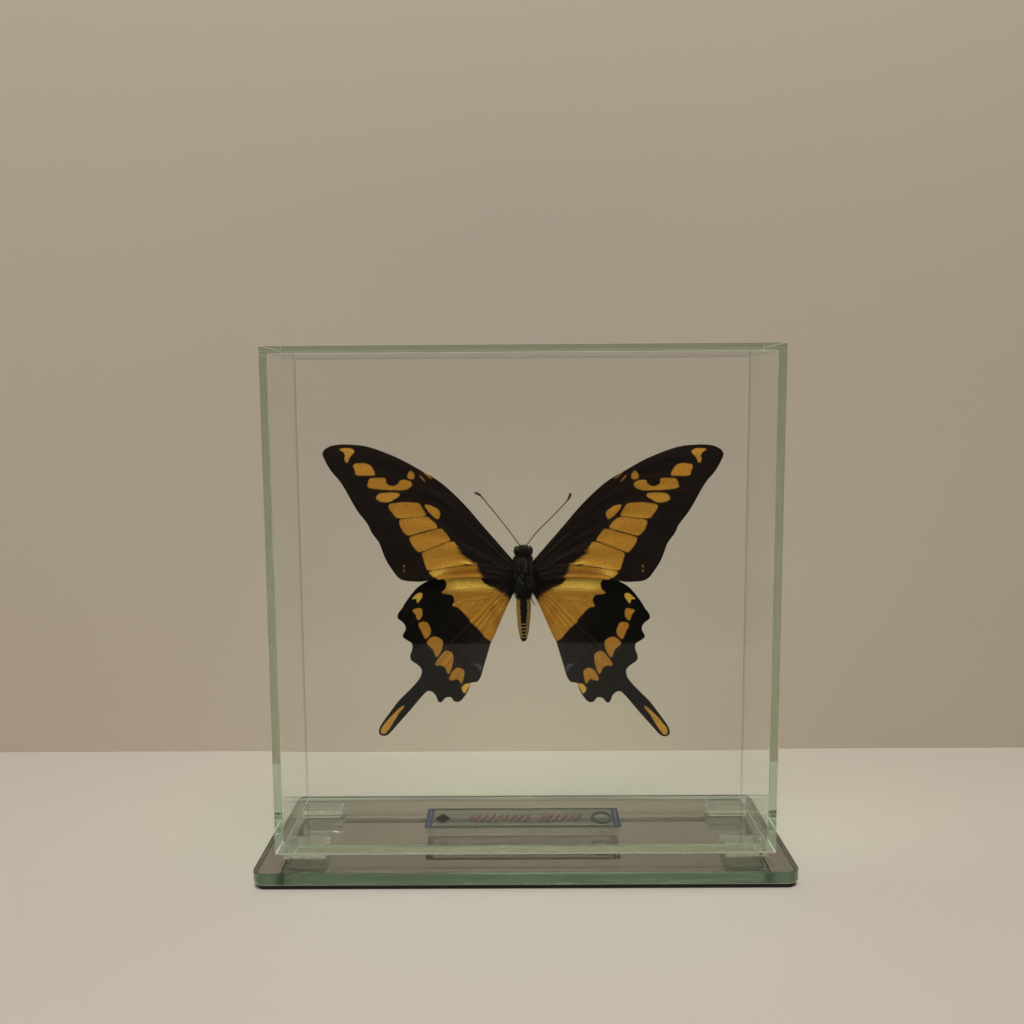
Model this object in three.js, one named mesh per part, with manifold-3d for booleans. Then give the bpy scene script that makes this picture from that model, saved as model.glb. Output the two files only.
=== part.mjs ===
// A spread butterfly in a clear glass display case on a mirror-glass base.
// Millimetres, +Z up, the front of the case faces -Y, origin under the middle of the base.
import * as THREE from 'three';
import { mergeVertices } from 'three/addons/utils/BufferGeometryUtils.js';
import Module from 'manifold-3d';

// ---- driving dimensions ----------------------------------------------------
const CASE = { width: 150, depth: 40, height: 151, pane: 2.2, shiftY: -2.3 };
const BASE = { width: 161.5, depth: 58.6, cornerRadius: 4, plate: 3.5, silver: 0.2, pad: 1.4, padInset: 0.8 };
const SPACER = { width: 12.5, depth: 9, height: 2.4, setIn: 2 };
const LABEL = { width: 66, depth: 17, thickness: 0.25, x: -0.6, y: 0.2, cornerRadius: 1.5, lift: 0.1 };
const JOINT = 0.1; // thickness of the clear glue line between two panes
const ARRIS = 0.25; // ground-off edge of every sheet of glass

const PEG = { radius: 1.1, flangeRadius: 2.4, flange: 1, aboveWaist: 4 };
const WING = { thickness: 0.4, layerGap: 0.5, dihedralDegrees: 3, rootX: 3.7 };
const BODY = { waistZ: 74.5, middleY: 0, sideways: 0.9, segments: 24 };
const ANTENNA = { radius: 0.28, sides: 8, steps: 12, clubRadius: 0.55, clubLength: 3.2 };

// ---- heights that follow from them ----------------------------------------
const PLATE_BOTTOM = BASE.pad + BASE.silver;
const PLATE_TOP = PLATE_BOTTOM + BASE.plate;
const CASE_BOTTOM = PLATE_TOP + SPACER.height;
const CASE_TOP = CASE_BOTTOM + CASE.height;
const INNER = { x: CASE.width / 2 - CASE.pane, y: CASE.depth / 2 - CASE.pane };

// ---- butterfly outlines: half the insect, x out from the middle, z up from the case's bottom edge
const FOREWING = [
  [WING.rootX, 86.8], [8, 91.8], [12.1, 96.6], [18.6, 104.2], [25.1, 110.3], [31.2, 114.1], [38.1, 117.9],
  [46.7, 121.2], [53.2, 122], [57.6, 121.7], [60, 120.6], [60.7, 118.8], [58.6, 114.4], [54, 107.9], [51.9, 103.9],
  [47.7, 97.7], [44.3, 91.9], [43, 88.3], [41, 84.3], [38.8, 81.2], [34.4, 79.9], [28.7, 80.2], [13.2, 80.8],
  [WING.rootX, 79.6],
];
const HINDWING = [
  [WING.rootX, 82.6], [16, 83.6], [24, 82.4], [28.1, 80.2], [32.8, 77.8], [35.3, 74.9], [37, 72.6], [38.9, 69.7],
  [39.1, 68.1], [37.4, 66.6], [36.9, 64.6], [37.7, 62.4], [36.3, 61.1], [35, 60.3], [34.7, 58.7], [35.5, 56.1],
  [35.1, 54.7], [33.2, 53.2], [32, 51.7], [32.1, 49.8],
];
const TAIL = [
  [33.3, 48], [35.9, 45.1], [39.2, 41.9], [42.1, 38.1], [44.7, 34.5], [45.6, 32.6], [45.5, 31.1], [44.2, 30.5],
  [42.6, 31.1], [40, 34], [37.1, 38.1], [34.1, 41.7], [32.3, 43.7], [30.1, 44.8],
];
const HINDWING_INNER = [
  [28.7, 44.4], [27.6, 43.1], [26.2, 41], [24.8, 42.5], [23, 42.7], [20.8, 41.1], [18.7, 43.4], [19, 44.9],
  [17.1, 47.2], [14.6, 47.5], [13.5, 49.2], [11.3, 56.5], [9.4, 61.6], [7.6, 65.7], [5.4, 70.8], [WING.rootX, 74.4],
];
// radius of the body against height, from the tip of the abdomen to the crown of the head
const BODY_PROFILE = [
  [0, -14.2], [0.7, -13.9], [1.3, -12.4], [1.9, -8.6], [2.3, -4.6], [2.3, -1.6], [2.1, 0], [2.8, 2], [3.2, 5.2],
  [3.1, 8.6], [2.4, 11.6], [1.8, 12.9], [2.1, 14], [1.9, 15.5], [1, 16.3], [0, 16.5],
];
const ANTENNA_PATH = [[1.2, 91.6], [4.2, 95.2], [7.8, 99.6], [10.8, 103.2], [13.2, 105.9], [15.2, 107.6]];

// ---- finishes ----------------------------------------------------------------
const finish = (color, roughness, metalness = 0) => ({ color, roughness, metalness });
const FINISHES = {
  glass: { ...finish(0xc9d8c6, 0.05), transparent: true, opacity: 0.3 },
  film: { ...finish(0xb9b8a6, 0.2), transparent: true, opacity: 0.5 },
  silver: finish(0x8d867a, 0.05, 1),
  pad: finish(0x14140f, 0.9),
  wing: finish(0xa67a2c, 0.6),
  body: finish(0x16130d, 0.9),
};
const material = (name) => new THREE.MeshStandardMaterial(FINISHES[name]);

const wasm = await Module();
wasm.setup();

/** Names a geometry as one piece of the object. */
function piece(name, geometry, finishName) {
  const mesh = new THREE.Mesh(geometry, material(finishName));
  mesh.name = name;
  return mesh;
}

/** A rectangle with round corners, centred on the origin. */
function roundedRectangle(width, depth, radius) {
  const [x, y] = [width / 2, depth / 2];
  const shape = new THREE.Shape();
  shape.moveTo(-x + radius, -y);
  shape.lineTo(x - radius, -y);
  shape.absarc(x - radius, -y + radius, radius, -Math.PI / 2, 0);
  shape.lineTo(x, y - radius);
  shape.absarc(x - radius, y - radius, radius, 0, Math.PI / 2);
  shape.lineTo(-x + radius, y);
  shape.absarc(-x + radius, y - radius, radius, Math.PI / 2, Math.PI);
  shape.lineTo(-x, -y + radius);
  shape.absarc(-x + radius, -y + radius, radius, Math.PI, 1.5 * Math.PI);
  return shape;
}

/** A plain rectangle, centred on the origin. */
function rectangle(width, depth) {
  const [x, y] = [width / 2, depth / 2];
  return new THREE.Shape([[-x, -y], [x, -y], [x, y], [-x, y]].map(([u, v]) => new THREE.Vector2(u, v)));
}

/** Raises a shape into a sheet from z = 0, its long edges ground off by the arris. */
function sheet(shape, thickness, arris = ARRIS) {
  const geometry = new THREE.ExtrudeGeometry(shape, {
    depth: thickness - 2 * arris,
    bevelEnabled: arris > 0,
    bevelThickness: arris,
    bevelSize: arris,
    bevelOffset: -arris,
    bevelSegments: 1,
    curveSegments: 10,
  });
  return geometry.translate(0, 0, arris);
}

/** The layers of the base: dark backing pad, silvering and the clear plate over it. */
function basePieces() {
  const { width, depth, cornerRadius, padInset } = BASE;
  const outline = (inset) =>
    roundedRectangle(width - 2 * inset, depth - 2 * inset, cornerRadius - inset);
  const pad = piece('backing_pad', sheet(outline(padInset), BASE.pad - JOINT, 0), 'pad');
  const silver = piece('mirror_silvering', sheet(outline(ARRIS), BASE.silver - JOINT, 0), 'silver');
  const plate = piece('base_plate', sheet(outline(0), BASE.plate), 'glass');
  silver.position.z = BASE.pad;
  plate.position.z = PLATE_BOTTOM;
  return [pad, silver, plate];
}

/** Four clear blocks that hold the case just above the mirror. */
function spacerPieces() {
  const x = CASE.width / 2 - SPACER.setIn - SPACER.width / 2;
  const y = CASE.depth / 2 - SPACER.setIn - SPACER.depth / 2;
  const corners = [['front_left', -x, -y], ['front_right', x, -y], ['back_left', -x, y], ['back_right', x, y]];
  return corners.map(([corner, cx, cy]) => {
    const shape = rectangle(SPACER.width, SPACER.depth);
    const block = piece(`spacer_${corner}`, sheet(shape, SPACER.height - 2 * JOINT), 'glass');
    block.position.set(cx, cy + CASE.shiftY, PLATE_TOP + JOINT);
    return block;
  });
}

/** Six panes: front and back run the full width, the sides fit between them, the top lies over all four. */
function casePieces() {
  const { width, depth, height, pane } = CASE;
  const wallHeight = height - pane - JOINT;
  const flat = (name, w, d, z) => {
    const mesh = piece(name, sheet(rectangle(w, d), pane), 'glass');
    mesh.position.z = z;
    return mesh;
  };
  const faceOn = (name, y) => {
    const mesh = piece(name, sheet(rectangle(width, wallHeight), pane), 'glass');
    mesh.rotation.x = Math.PI / 2;
    mesh.position.set(0, y, wallHeight / 2);
    return mesh;
  };
  const sideOn = (name, x) => {
    const sideDepth = 2 * (INNER.y - JOINT);
    const mesh = piece(name, sheet(rectangle(wallHeight, sideDepth), pane), 'glass');
    mesh.rotation.y = Math.PI / 2;
    mesh.position.set(x, 0, wallHeight / 2);
    return mesh;
  };
  const walls = new THREE.Group();
  walls.position.set(0, CASE.shiftY, CASE_BOTTOM);
  walls.add(
    flat('pane_floor', 2 * (INNER.x - JOINT), 2 * (INNER.y - JOINT), 0),
    flat('pane_top', width, depth, height - pane),
    faceOn('pane_front', -depth / 2 + pane),
    faceOn('pane_back', depth / 2),
    sideOn('pane_left', -width / 2),
    sideOn('pane_right', width / 2 - pane),
  );
  return [walls];
}

/** The clear name film that lies on the floor of the case. */
function labelPiece() {
  const shape = roundedRectangle(LABEL.width, LABEL.depth, LABEL.cornerRadius);
  const label = piece('label_film', sheet(shape, LABEL.thickness, 0), 'film');
  label.position.set(LABEL.x, LABEL.y + CASE.shiftY, CASE_BOTTOM + CASE.pane + LABEL.lift);
  return label;
}

/** The clear peg with a round foot that carries the insect on the back pane. */
function pegPiece() {
  const reach = INNER.y - JOINT;
  const tip = BODY.middleY + BODY_PROFILE[8][0] * BODY.sideways + 3 * JOINT;
  const profile = [[0, tip], [PEG.radius, tip], [PEG.radius, reach - PEG.flange],
    [PEG.flangeRadius, reach - PEG.flange], [PEG.flangeRadius, reach], [0, reach]];
  const geometry = new THREE.LatheGeometry(profile.map(([r, y]) => new THREE.Vector2(r, y)), 20);
  const peg = piece('support_peg', geometry, 'glass');
  peg.position.z = BODY.waistZ + PEG.aboveWaist;
  return peg;
}

/** Head, thorax and abdomen: one closed turned form, flattened a little from front to back. */
function bodyPiece() {
  const points = BODY_PROFILE.map(([r, z]) => new THREE.Vector2(r, z));
  const geometry = new THREE.LatheGeometry(points, BODY.segments).rotateX(Math.PI / 2);
  geometry.scale(1, BODY.sideways, 1);
  const body = piece('body', geometry, 'body');
  body.position.z = BODY.waistZ;
  return body;
}

/** One wing: its outline upright in the XZ plane, raised towards the front by its thickness. */
function wing(name, outline, side, layerY) {
  const points = outline.map(([x, z]) => new THREE.Vector2(side * x, z));
  const geometry = new THREE.ExtrudeGeometry(new THREE.Shape(points), { depth: WING.thickness, bevelEnabled: false });
  const mesh = piece(name, geometry.rotateX(Math.PI / 2), 'wing');
  mesh.position.y = layerY;
  return mesh;
}

/** Both wings of one side, hinged forward about the body by the dihedral angle. */
function wingPair(side, sideName) {
  const pair = new THREE.Group();
  const hindwing = [...HINDWING, ...TAIL, ...HINDWING_INNER];
  pair.rotation.z = -side * THREE.MathUtils.degToRad(WING.dihedralDegrees);
  pair.add(wing(`forewing_${sideName}`, FOREWING, side, -WING.layerGap));
  pair.add(wing(`hindwing_${sideName}`, hindwing, side, WING.layerGap));
  return pair;
}

/** Turns a closed geometry into a solid for joining. */
function solid(geometry) {
  const bare = geometry.clone();
  ['normal', 'uv'].forEach((name) => bare.deleteAttribute(name));
  const merged = mergeVertices(bare, 1e-4);
  const vertProperties = new Float32Array(merged.attributes.position.array);
  const triVerts = new Uint32Array(merged.index.array);
  return new wasm.Manifold(new wasm.Mesh({ numProp: 3, vertProperties, triVerts }));
}

/** Joins geometries into one closed geometry. */
function union(...geometries) {
  const mesh = geometries.map(solid).reduce((sum, next) => sum.add(next)).getMesh();
  const joined = new THREE.BufferGeometry();
  joined.setAttribute('position', new THREE.BufferAttribute(new Float32Array(mesh.vertProperties), 3));
  joined.setIndex(new THREE.BufferAttribute(new Uint32Array(mesh.triVerts), 1));
  joined.computeVertexNormals();
  return joined;
}

/** One antenna: a thread along its curve with a long club on the end. */
function antenna(side, sideName) {
  const points = ANTENNA_PATH.map(([x, z]) => new THREE.Vector3(side * x, 0, z));
  const path = new THREE.CatmullRomCurve3(points);
  const section = new THREE.Shape(
    Array.from({ length: ANTENNA.sides }, (_, i) => {
      const angle = (2 * Math.PI * i) / ANTENNA.sides;
      return new THREE.Vector2(Math.cos(angle), Math.sin(angle)).multiplyScalar(ANTENNA.radius);
    }),
  );
  const thread = new THREE.ExtrudeGeometry(section, { steps: ANTENNA.steps, extrudePath: path, bevelEnabled: false });
  const end = path.getPoint(1);
  const club = new THREE.SphereGeometry(ANTENNA.clubRadius, 12, 8);
  club.scale(1, 1, ANTENNA.clubLength / 2 / ANTENNA.clubRadius);
  const direction = path.getTangent(1);
  club.applyQuaternion(new THREE.Quaternion().setFromUnitVectors(new THREE.Vector3(0, 0, 1), direction));
  club.translate(...end.clone().addScaledVector(direction, -ANTENNA.clubLength / 3).toArray());
  return piece(`antenna_${sideName}`, union(thread, club), 'body');
}

/** The insect and its peg, hung in the middle of the case. */
function butterfly() {
  const group = new THREE.Group();
  group.position.set(0, CASE.shiftY, CASE_BOTTOM);
  group.add(bodyPiece(), pegPiece());
  [[-1, 'left'], [1, 'right']].forEach(([side, name]) => group.add(wingPair(side, name), antenna(side, name)));
  return group;
}

const part = new THREE.Group();
part.add(...basePieces(), ...spacerPieces(), ...casePieces(), labelPiece(), butterfly());
export default part;
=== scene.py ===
"""Looks for a spread butterfly in a clear glass display case on a mirror-glass base.

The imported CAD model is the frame. The glass, the blocks, the silvering and the pad keep their CAD meshes
and get procedural finishes. The insect is built here from surfaces worked out with numpy, and so is the one
shell that the six glued panes look like. All sizes are millimetres until a mesh is made, and the scene itself
is in metres.
"""

import logging
import math
from dataclasses import dataclass, field
from enum import Enum

import bpy
import numpy as np
from mathutils import Matrix, Vector


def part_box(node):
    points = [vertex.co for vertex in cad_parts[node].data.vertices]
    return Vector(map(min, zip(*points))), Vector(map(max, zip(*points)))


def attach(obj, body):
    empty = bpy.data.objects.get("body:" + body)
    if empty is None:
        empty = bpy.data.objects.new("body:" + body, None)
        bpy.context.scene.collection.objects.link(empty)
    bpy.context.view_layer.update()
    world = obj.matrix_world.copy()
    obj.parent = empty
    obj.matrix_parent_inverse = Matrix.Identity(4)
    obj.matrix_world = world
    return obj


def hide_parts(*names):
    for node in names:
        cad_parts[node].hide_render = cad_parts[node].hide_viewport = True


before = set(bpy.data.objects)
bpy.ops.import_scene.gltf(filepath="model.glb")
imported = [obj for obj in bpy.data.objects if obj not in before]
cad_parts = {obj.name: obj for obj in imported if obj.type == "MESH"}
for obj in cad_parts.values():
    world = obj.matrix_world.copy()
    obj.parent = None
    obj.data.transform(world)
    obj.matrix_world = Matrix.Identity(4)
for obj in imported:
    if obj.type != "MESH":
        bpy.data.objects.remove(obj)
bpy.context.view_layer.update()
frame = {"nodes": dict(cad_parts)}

log = logging.getLogger("butterfly_case")

MM = 0.001
SEED = 20
FULL_TURN = 2 * math.pi
TINY = 1e-12
STEEP = 0.9
FINENESS = 16
DIHEDRAL = 3.0

Point = tuple[float, float]
Place = tuple[float, float, float]
Colour = tuple[float, float, float]
Material = bpy.types.Material
Node = bpy.types.Node
Piece = bpy.types.Object
Socket = bpy.types.NodeSocket
Fed = Socket | float | Colour


# ---- places taken from the frame ----


@dataclass(frozen=True)
class Places:
    """Heights and middles of the case and the insect, in millimetres; the case's are read from CAD nodes."""

    case_bottom: float
    middle_y: float
    waist: float = 74.5

    @classmethod
    def from_frame(cls) -> "Places":
        """Reads the places of the floor pane.

        Returns:
            The places, in millimetres.
        """
        low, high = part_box("pane_floor")
        return cls(case_bottom=low.z / MM, middle_y=(low.y + high.y) / 2 / MM)


# ---- curves and meshes ----


def smooth_curve(points: np.ndarray, closed: bool = False, fineness: int = FINENESS) -> np.ndarray:
    """A Catmull-Rom curve through points.

    Each stretch between two points is the cubic that passes through both and is parallel there to the
    chord of their neighbours.

    Args:
        points: one row for each point.
        closed: whether the last point joins the first.
        fineness: how many samples each stretch gets.

    Returns:
        The samples along the curve, ending at the last point, or just before the first if closed.
    """
    p = np.asarray(points, float)
    if closed:
        before, after, following = np.roll(p, 1, 0), np.roll(p, -1, 0), np.roll(p, -2, 0)
        start = p
    else:
        start, after = p[:-1], p[1:]
        before = np.vstack([2 * p[0] - p[1], p[:-2]])
        following = np.vstack([p[2:], 2 * p[-1] - p[-2]])
    t = (np.arange(fineness) / fineness)[None, :, None]
    a, b, c, d = (q[:, None, :] for q in (before, start, after, following))
    curve = 0.5 * (2 * b + (c - a) * t + (2 * a - 5 * b + 4 * c - d) * t**2 + (3 * b - a - 3 * c + d) * t**3)
    flat = curve.reshape(-1, p.shape[1])
    return flat if closed else np.vstack([flat, p[-1:]])


def spread(curve: np.ndarray, count: int) -> np.ndarray:
    """The same curve as count samples at equal distances along it.

    Args:
        curve: samples along a curve, one row each.
        count: how many samples to give back.

    Returns:
        The evenly spaced samples, both ends included.
    """
    steps = np.linalg.norm(np.diff(curve, axis=0), axis=1)
    length = np.concatenate([[0.0], np.cumsum(steps)])
    wanted = np.linspace(0.0, length[-1], count)
    return np.column_stack([np.interp(wanted, length, curve[:, k]) for k in range(curve.shape[1])])


def distance_to_line(points: np.ndarray, line: np.ndarray) -> np.ndarray:
    """Least distance from each point to an open line of straight stretches.

    For each stretch the nearest place is the foot of the perpendicular, held between its two ends.

    Args:
        points: one row for each point.
        line: one row for each corner of the line.

    Returns:
        One distance for each point.
    """
    best = np.full(len(points), np.inf)
    for a, b in zip(line[:-1], line[1:]):
        along = b - a
        share = np.clip(((points - a) @ along) / max(along @ along, TINY), 0.0, 1.0)
        best = np.minimum(best, np.linalg.norm(points - a - share[:, None] * along, axis=1))
    return best


def inside_loop(points: np.ndarray, loop: np.ndarray) -> np.ndarray:
    """Whether each point is inside a closed loop, by counting crossings of a line to its right.

    Args:
        points: one row for each point in the plane.
        loop: the loop's corners in order.

    Returns:
        True for each point that is inside.
    """
    inside = np.zeros(len(points), bool)
    x, y = points[:, 0], points[:, 1]
    for (ax, ay), (bx, by) in zip(loop, np.roll(loop, -1, 0)):
        crosses = (ay > y) != (by > y)
        slope = (bx - ax) / (by - ay if by != ay else TINY)
        inside ^= crosses & (x < ax + slope * (y - ay))
    return inside


def grid_quads(rows: int, columns: int, wrap: bool = False, first: int = 0) -> np.ndarray:
    """Four-sided faces of a grid of vertices numbered row by row.

    Args:
        rows: vertices along the first parameter.
        columns: vertices along the second parameter.
        wrap: whether the last column joins the first.
        first: number of the grid's first vertex.

    Returns:
        One row of four vertex numbers for each face.
    """
    r, c = np.meshgrid(np.arange(rows - 1), np.arange(columns if wrap else columns - 1), indexing="ij")
    nxt = (c + 1) % columns
    quads = np.stack([r * columns + c, r * columns + nxt, (r + 1) * columns + nxt, (r + 1) * columns + c], -1)
    return quads.reshape(-1, 4) + first


@dataclass
class Form:
    """A mesh in the making: vertices in millimetres, faces, and values carried by the vertices."""

    vertices: np.ndarray
    quads: np.ndarray
    triangles: np.ndarray = field(default_factory=lambda: np.zeros((0, 3), int))
    values: dict[str, np.ndarray] = field(default_factory=dict)
    uv: np.ndarray | None = None

    def turned_out(self) -> "Form":
        """The same form with its faces turned so that the volume inside is positive.

        Returns:
            The form itself, changed where it had to be.
        """
        corners = np.vstack([self.quads[:, [0, 1, 2]], self.quads[:, [0, 2, 3]], self.triangles])
        a, b, c = (self.vertices[corners[:, k]] for k in range(3))
        if np.einsum("ij,ij->", a, np.cross(b, c)) < 0:
            self.quads = self.quads[:, ::-1]
            self.triangles = self.triangles[:, ::-1]
        return self


def joined(forms: list[Form]) -> Form:
    """Several forms as one mesh.

    Args:
        forms: the forms, all carrying the same values.

    Returns:
        One form that holds them all.
    """
    starts = np.cumsum([0] + [len(f.vertices) for f in forms[:-1]])
    uv = np.vstack([f.uv for f in forms]) if all(f.uv is not None for f in forms) else None
    return Form(
        np.vstack([f.vertices for f in forms]),
        np.vstack([f.quads + s for f, s in zip(forms, starts)]),
        np.vstack([f.triangles + s for f, s in zip(forms, starts)]),
        {k: np.concatenate([f.values[k] for f in forms]) for k in forms[0].values},
        uv,
    )


def box_form(low: np.ndarray, high: np.ndarray) -> Form:
    """A closed box between two opposite corners, its faces outwards.

    Args:
        low: the lowest corner.
        high: the highest corner.

    Returns:
        The box.
    """
    picks = np.array([[x, y, z] for z in (0, 1) for y in (0, 1) for x in (0, 1)])
    vertices = np.where(picks == 0, low, high).astype(float)
    quads = np.array([[0, 2, 3, 1], [4, 5, 7, 6], [0, 1, 5, 4], [2, 6, 7, 3], [0, 4, 6, 2], [1, 3, 7, 5]])
    return Form(vertices, quads).turned_out()


def make_piece(
    name: str, form: Form, material: Material, smooth: bool = True
) -> Piece:
    """Puts a form into the scene as one object on the root body.

    Args:
        name: the piece's name.
        form: its mesh, in millimetres.
        material: its finish.
        smooth: whether it is shaded as a curved surface.

    Returns:
        The new object.
    """
    mesh = bpy.data.meshes.new(name)
    vertex_count, quad_count, triangle_count = len(form.vertices), len(form.quads), len(form.triangles)
    corner_index = np.concatenate([form.quads.ravel(), form.triangles.ravel()]).astype(np.int32)
    sizes = np.concatenate([np.full(quad_count, 4), np.full(triangle_count, 3)])
    mesh.vertices.add(vertex_count)
    mesh.loops.add(len(corner_index))
    mesh.polygons.add(quad_count + triangle_count)
    mesh.vertices.foreach_set("co", (form.vertices * MM).astype(np.float32).ravel())
    mesh.loops.foreach_set("vertex_index", corner_index)
    mesh.polygons.foreach_set("loop_start", np.concatenate([[0], np.cumsum(sizes)[:-1]]).astype(np.int32))
    mesh.polygons.foreach_set("use_smooth", np.full(quad_count + triangle_count, smooth))
    for key, numbers in form.values.items():
        layer = mesh.attributes.new(key, "FLOAT", "POINT")
        layer.data.foreach_set("value", np.asarray(numbers, np.float32))
    if form.uv is not None:
        layer = mesh.uv_layers.new(name="streak")
        layer.data.foreach_set("uv", form.uv[corner_index].astype(np.float32).ravel())
    mesh.update(calc_edges=True)
    mesh.validate()
    mesh.materials.append(material)
    piece = bpy.data.objects.new(name, mesh)
    bpy.context.scene.collection.objects.link(piece)
    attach(piece, "root")
    log.info("%s: %d vertices, %d faces", name, vertex_count, quad_count + triangle_count)
    return piece


def end_fans(rows: int, columns: int) -> np.ndarray:
    """Triangles that close both ends of a wrapped grid with a fan.

    The two end points are numbered straight after the grid's own vertices: the start's, then the end's.

    Args:
        rows: vertices along the first parameter.
        columns: vertices round it.

    Returns:
        One row of three vertex numbers for each face.
    """
    around = np.arange(columns)
    nxt = (around + 1) % columns
    start, last = rows * columns, (rows - 1) * columns
    return np.vstack([
        np.stack([np.full(columns, start), nxt, around], 1),
        np.stack([np.full(columns, start + 1), last + around, last + nxt], 1),
    ])


def section(tangent: np.ndarray, guide: np.ndarray, sides: int) -> np.ndarray:
    """Round sections of radius 1, square to a way.

    Section(a) = cos a * across + sin a * over, where across is square to the way and the guide, and over is
    square to the way and across.

    Args:
        tangent: the way at each place, of length 1.
        guide: any direction well apart from the way.
        sides: how many points round each section.

    Returns:
        The points, as (places, sides, 3).
    """
    across = np.cross(tangent, guide)
    across /= np.linalg.norm(across, axis=1)[:, None]
    over = np.cross(tangent, across)
    angle = FULL_TURN * np.arange(sides) / sides
    return np.cos(angle)[None, :, None] * across[:, None, :] + np.sin(angle)[None, :, None] * over[:, None, :]


def tube(path: np.ndarray, radii: np.ndarray, sides: int = 10) -> Form:
    """A round section carried along a path, closed at both ends.

    Point(s, a) = path(s) + radius(s) * section(a). The two ends are closed by a fan to the path's own end
    points.

    Args:
        path: samples along the middle line, one row each.
        radii: the radius at each sample.
        sides: how many points round the section.

    Returns:
        The closed tube.
    """
    tangent = np.gradient(path, axis=0)
    tangent /= np.linalg.norm(tangent, axis=1)[:, None]
    steep = abs(tangent[:, 1]).max() >= STEEP
    ring = section(tangent, np.array([1.0, 0.0, 0.0] if steep else [0.0, 1.0, 0.0]), sides)
    body = (path[:, None, :] + radii[:, None, None] * ring).reshape(-1, 3)
    rows = len(path)
    vertices = np.vstack([body, path[:1], path[-1:]])
    return Form(vertices, grid_quads(rows, sides, wrap=True), end_fans(rows, sides)).turned_out()


def bell(values: np.ndarray, middle: float, width: float) -> np.ndarray:
    """A bell curve of height 1: exp(-((value - middle) / width)^2)."""
    return np.exp(-(((values - middle) / width) ** 2))


# ---- finishes ----


@dataclass(frozen=True)
class Step:
    """A smooth step: the result goes from start to end while the value goes from low to high."""

    low: float
    high: float
    start: float = 0.0
    end: float = 1.0


@dataclass(frozen=True)
class Grain:
    """Fine uneven grain: its scale and contrast, and how strongly and how deep in metres it dents."""

    scale: float
    contrast: float
    strength: float = 0.0
    depth: float = 0.0


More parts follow.
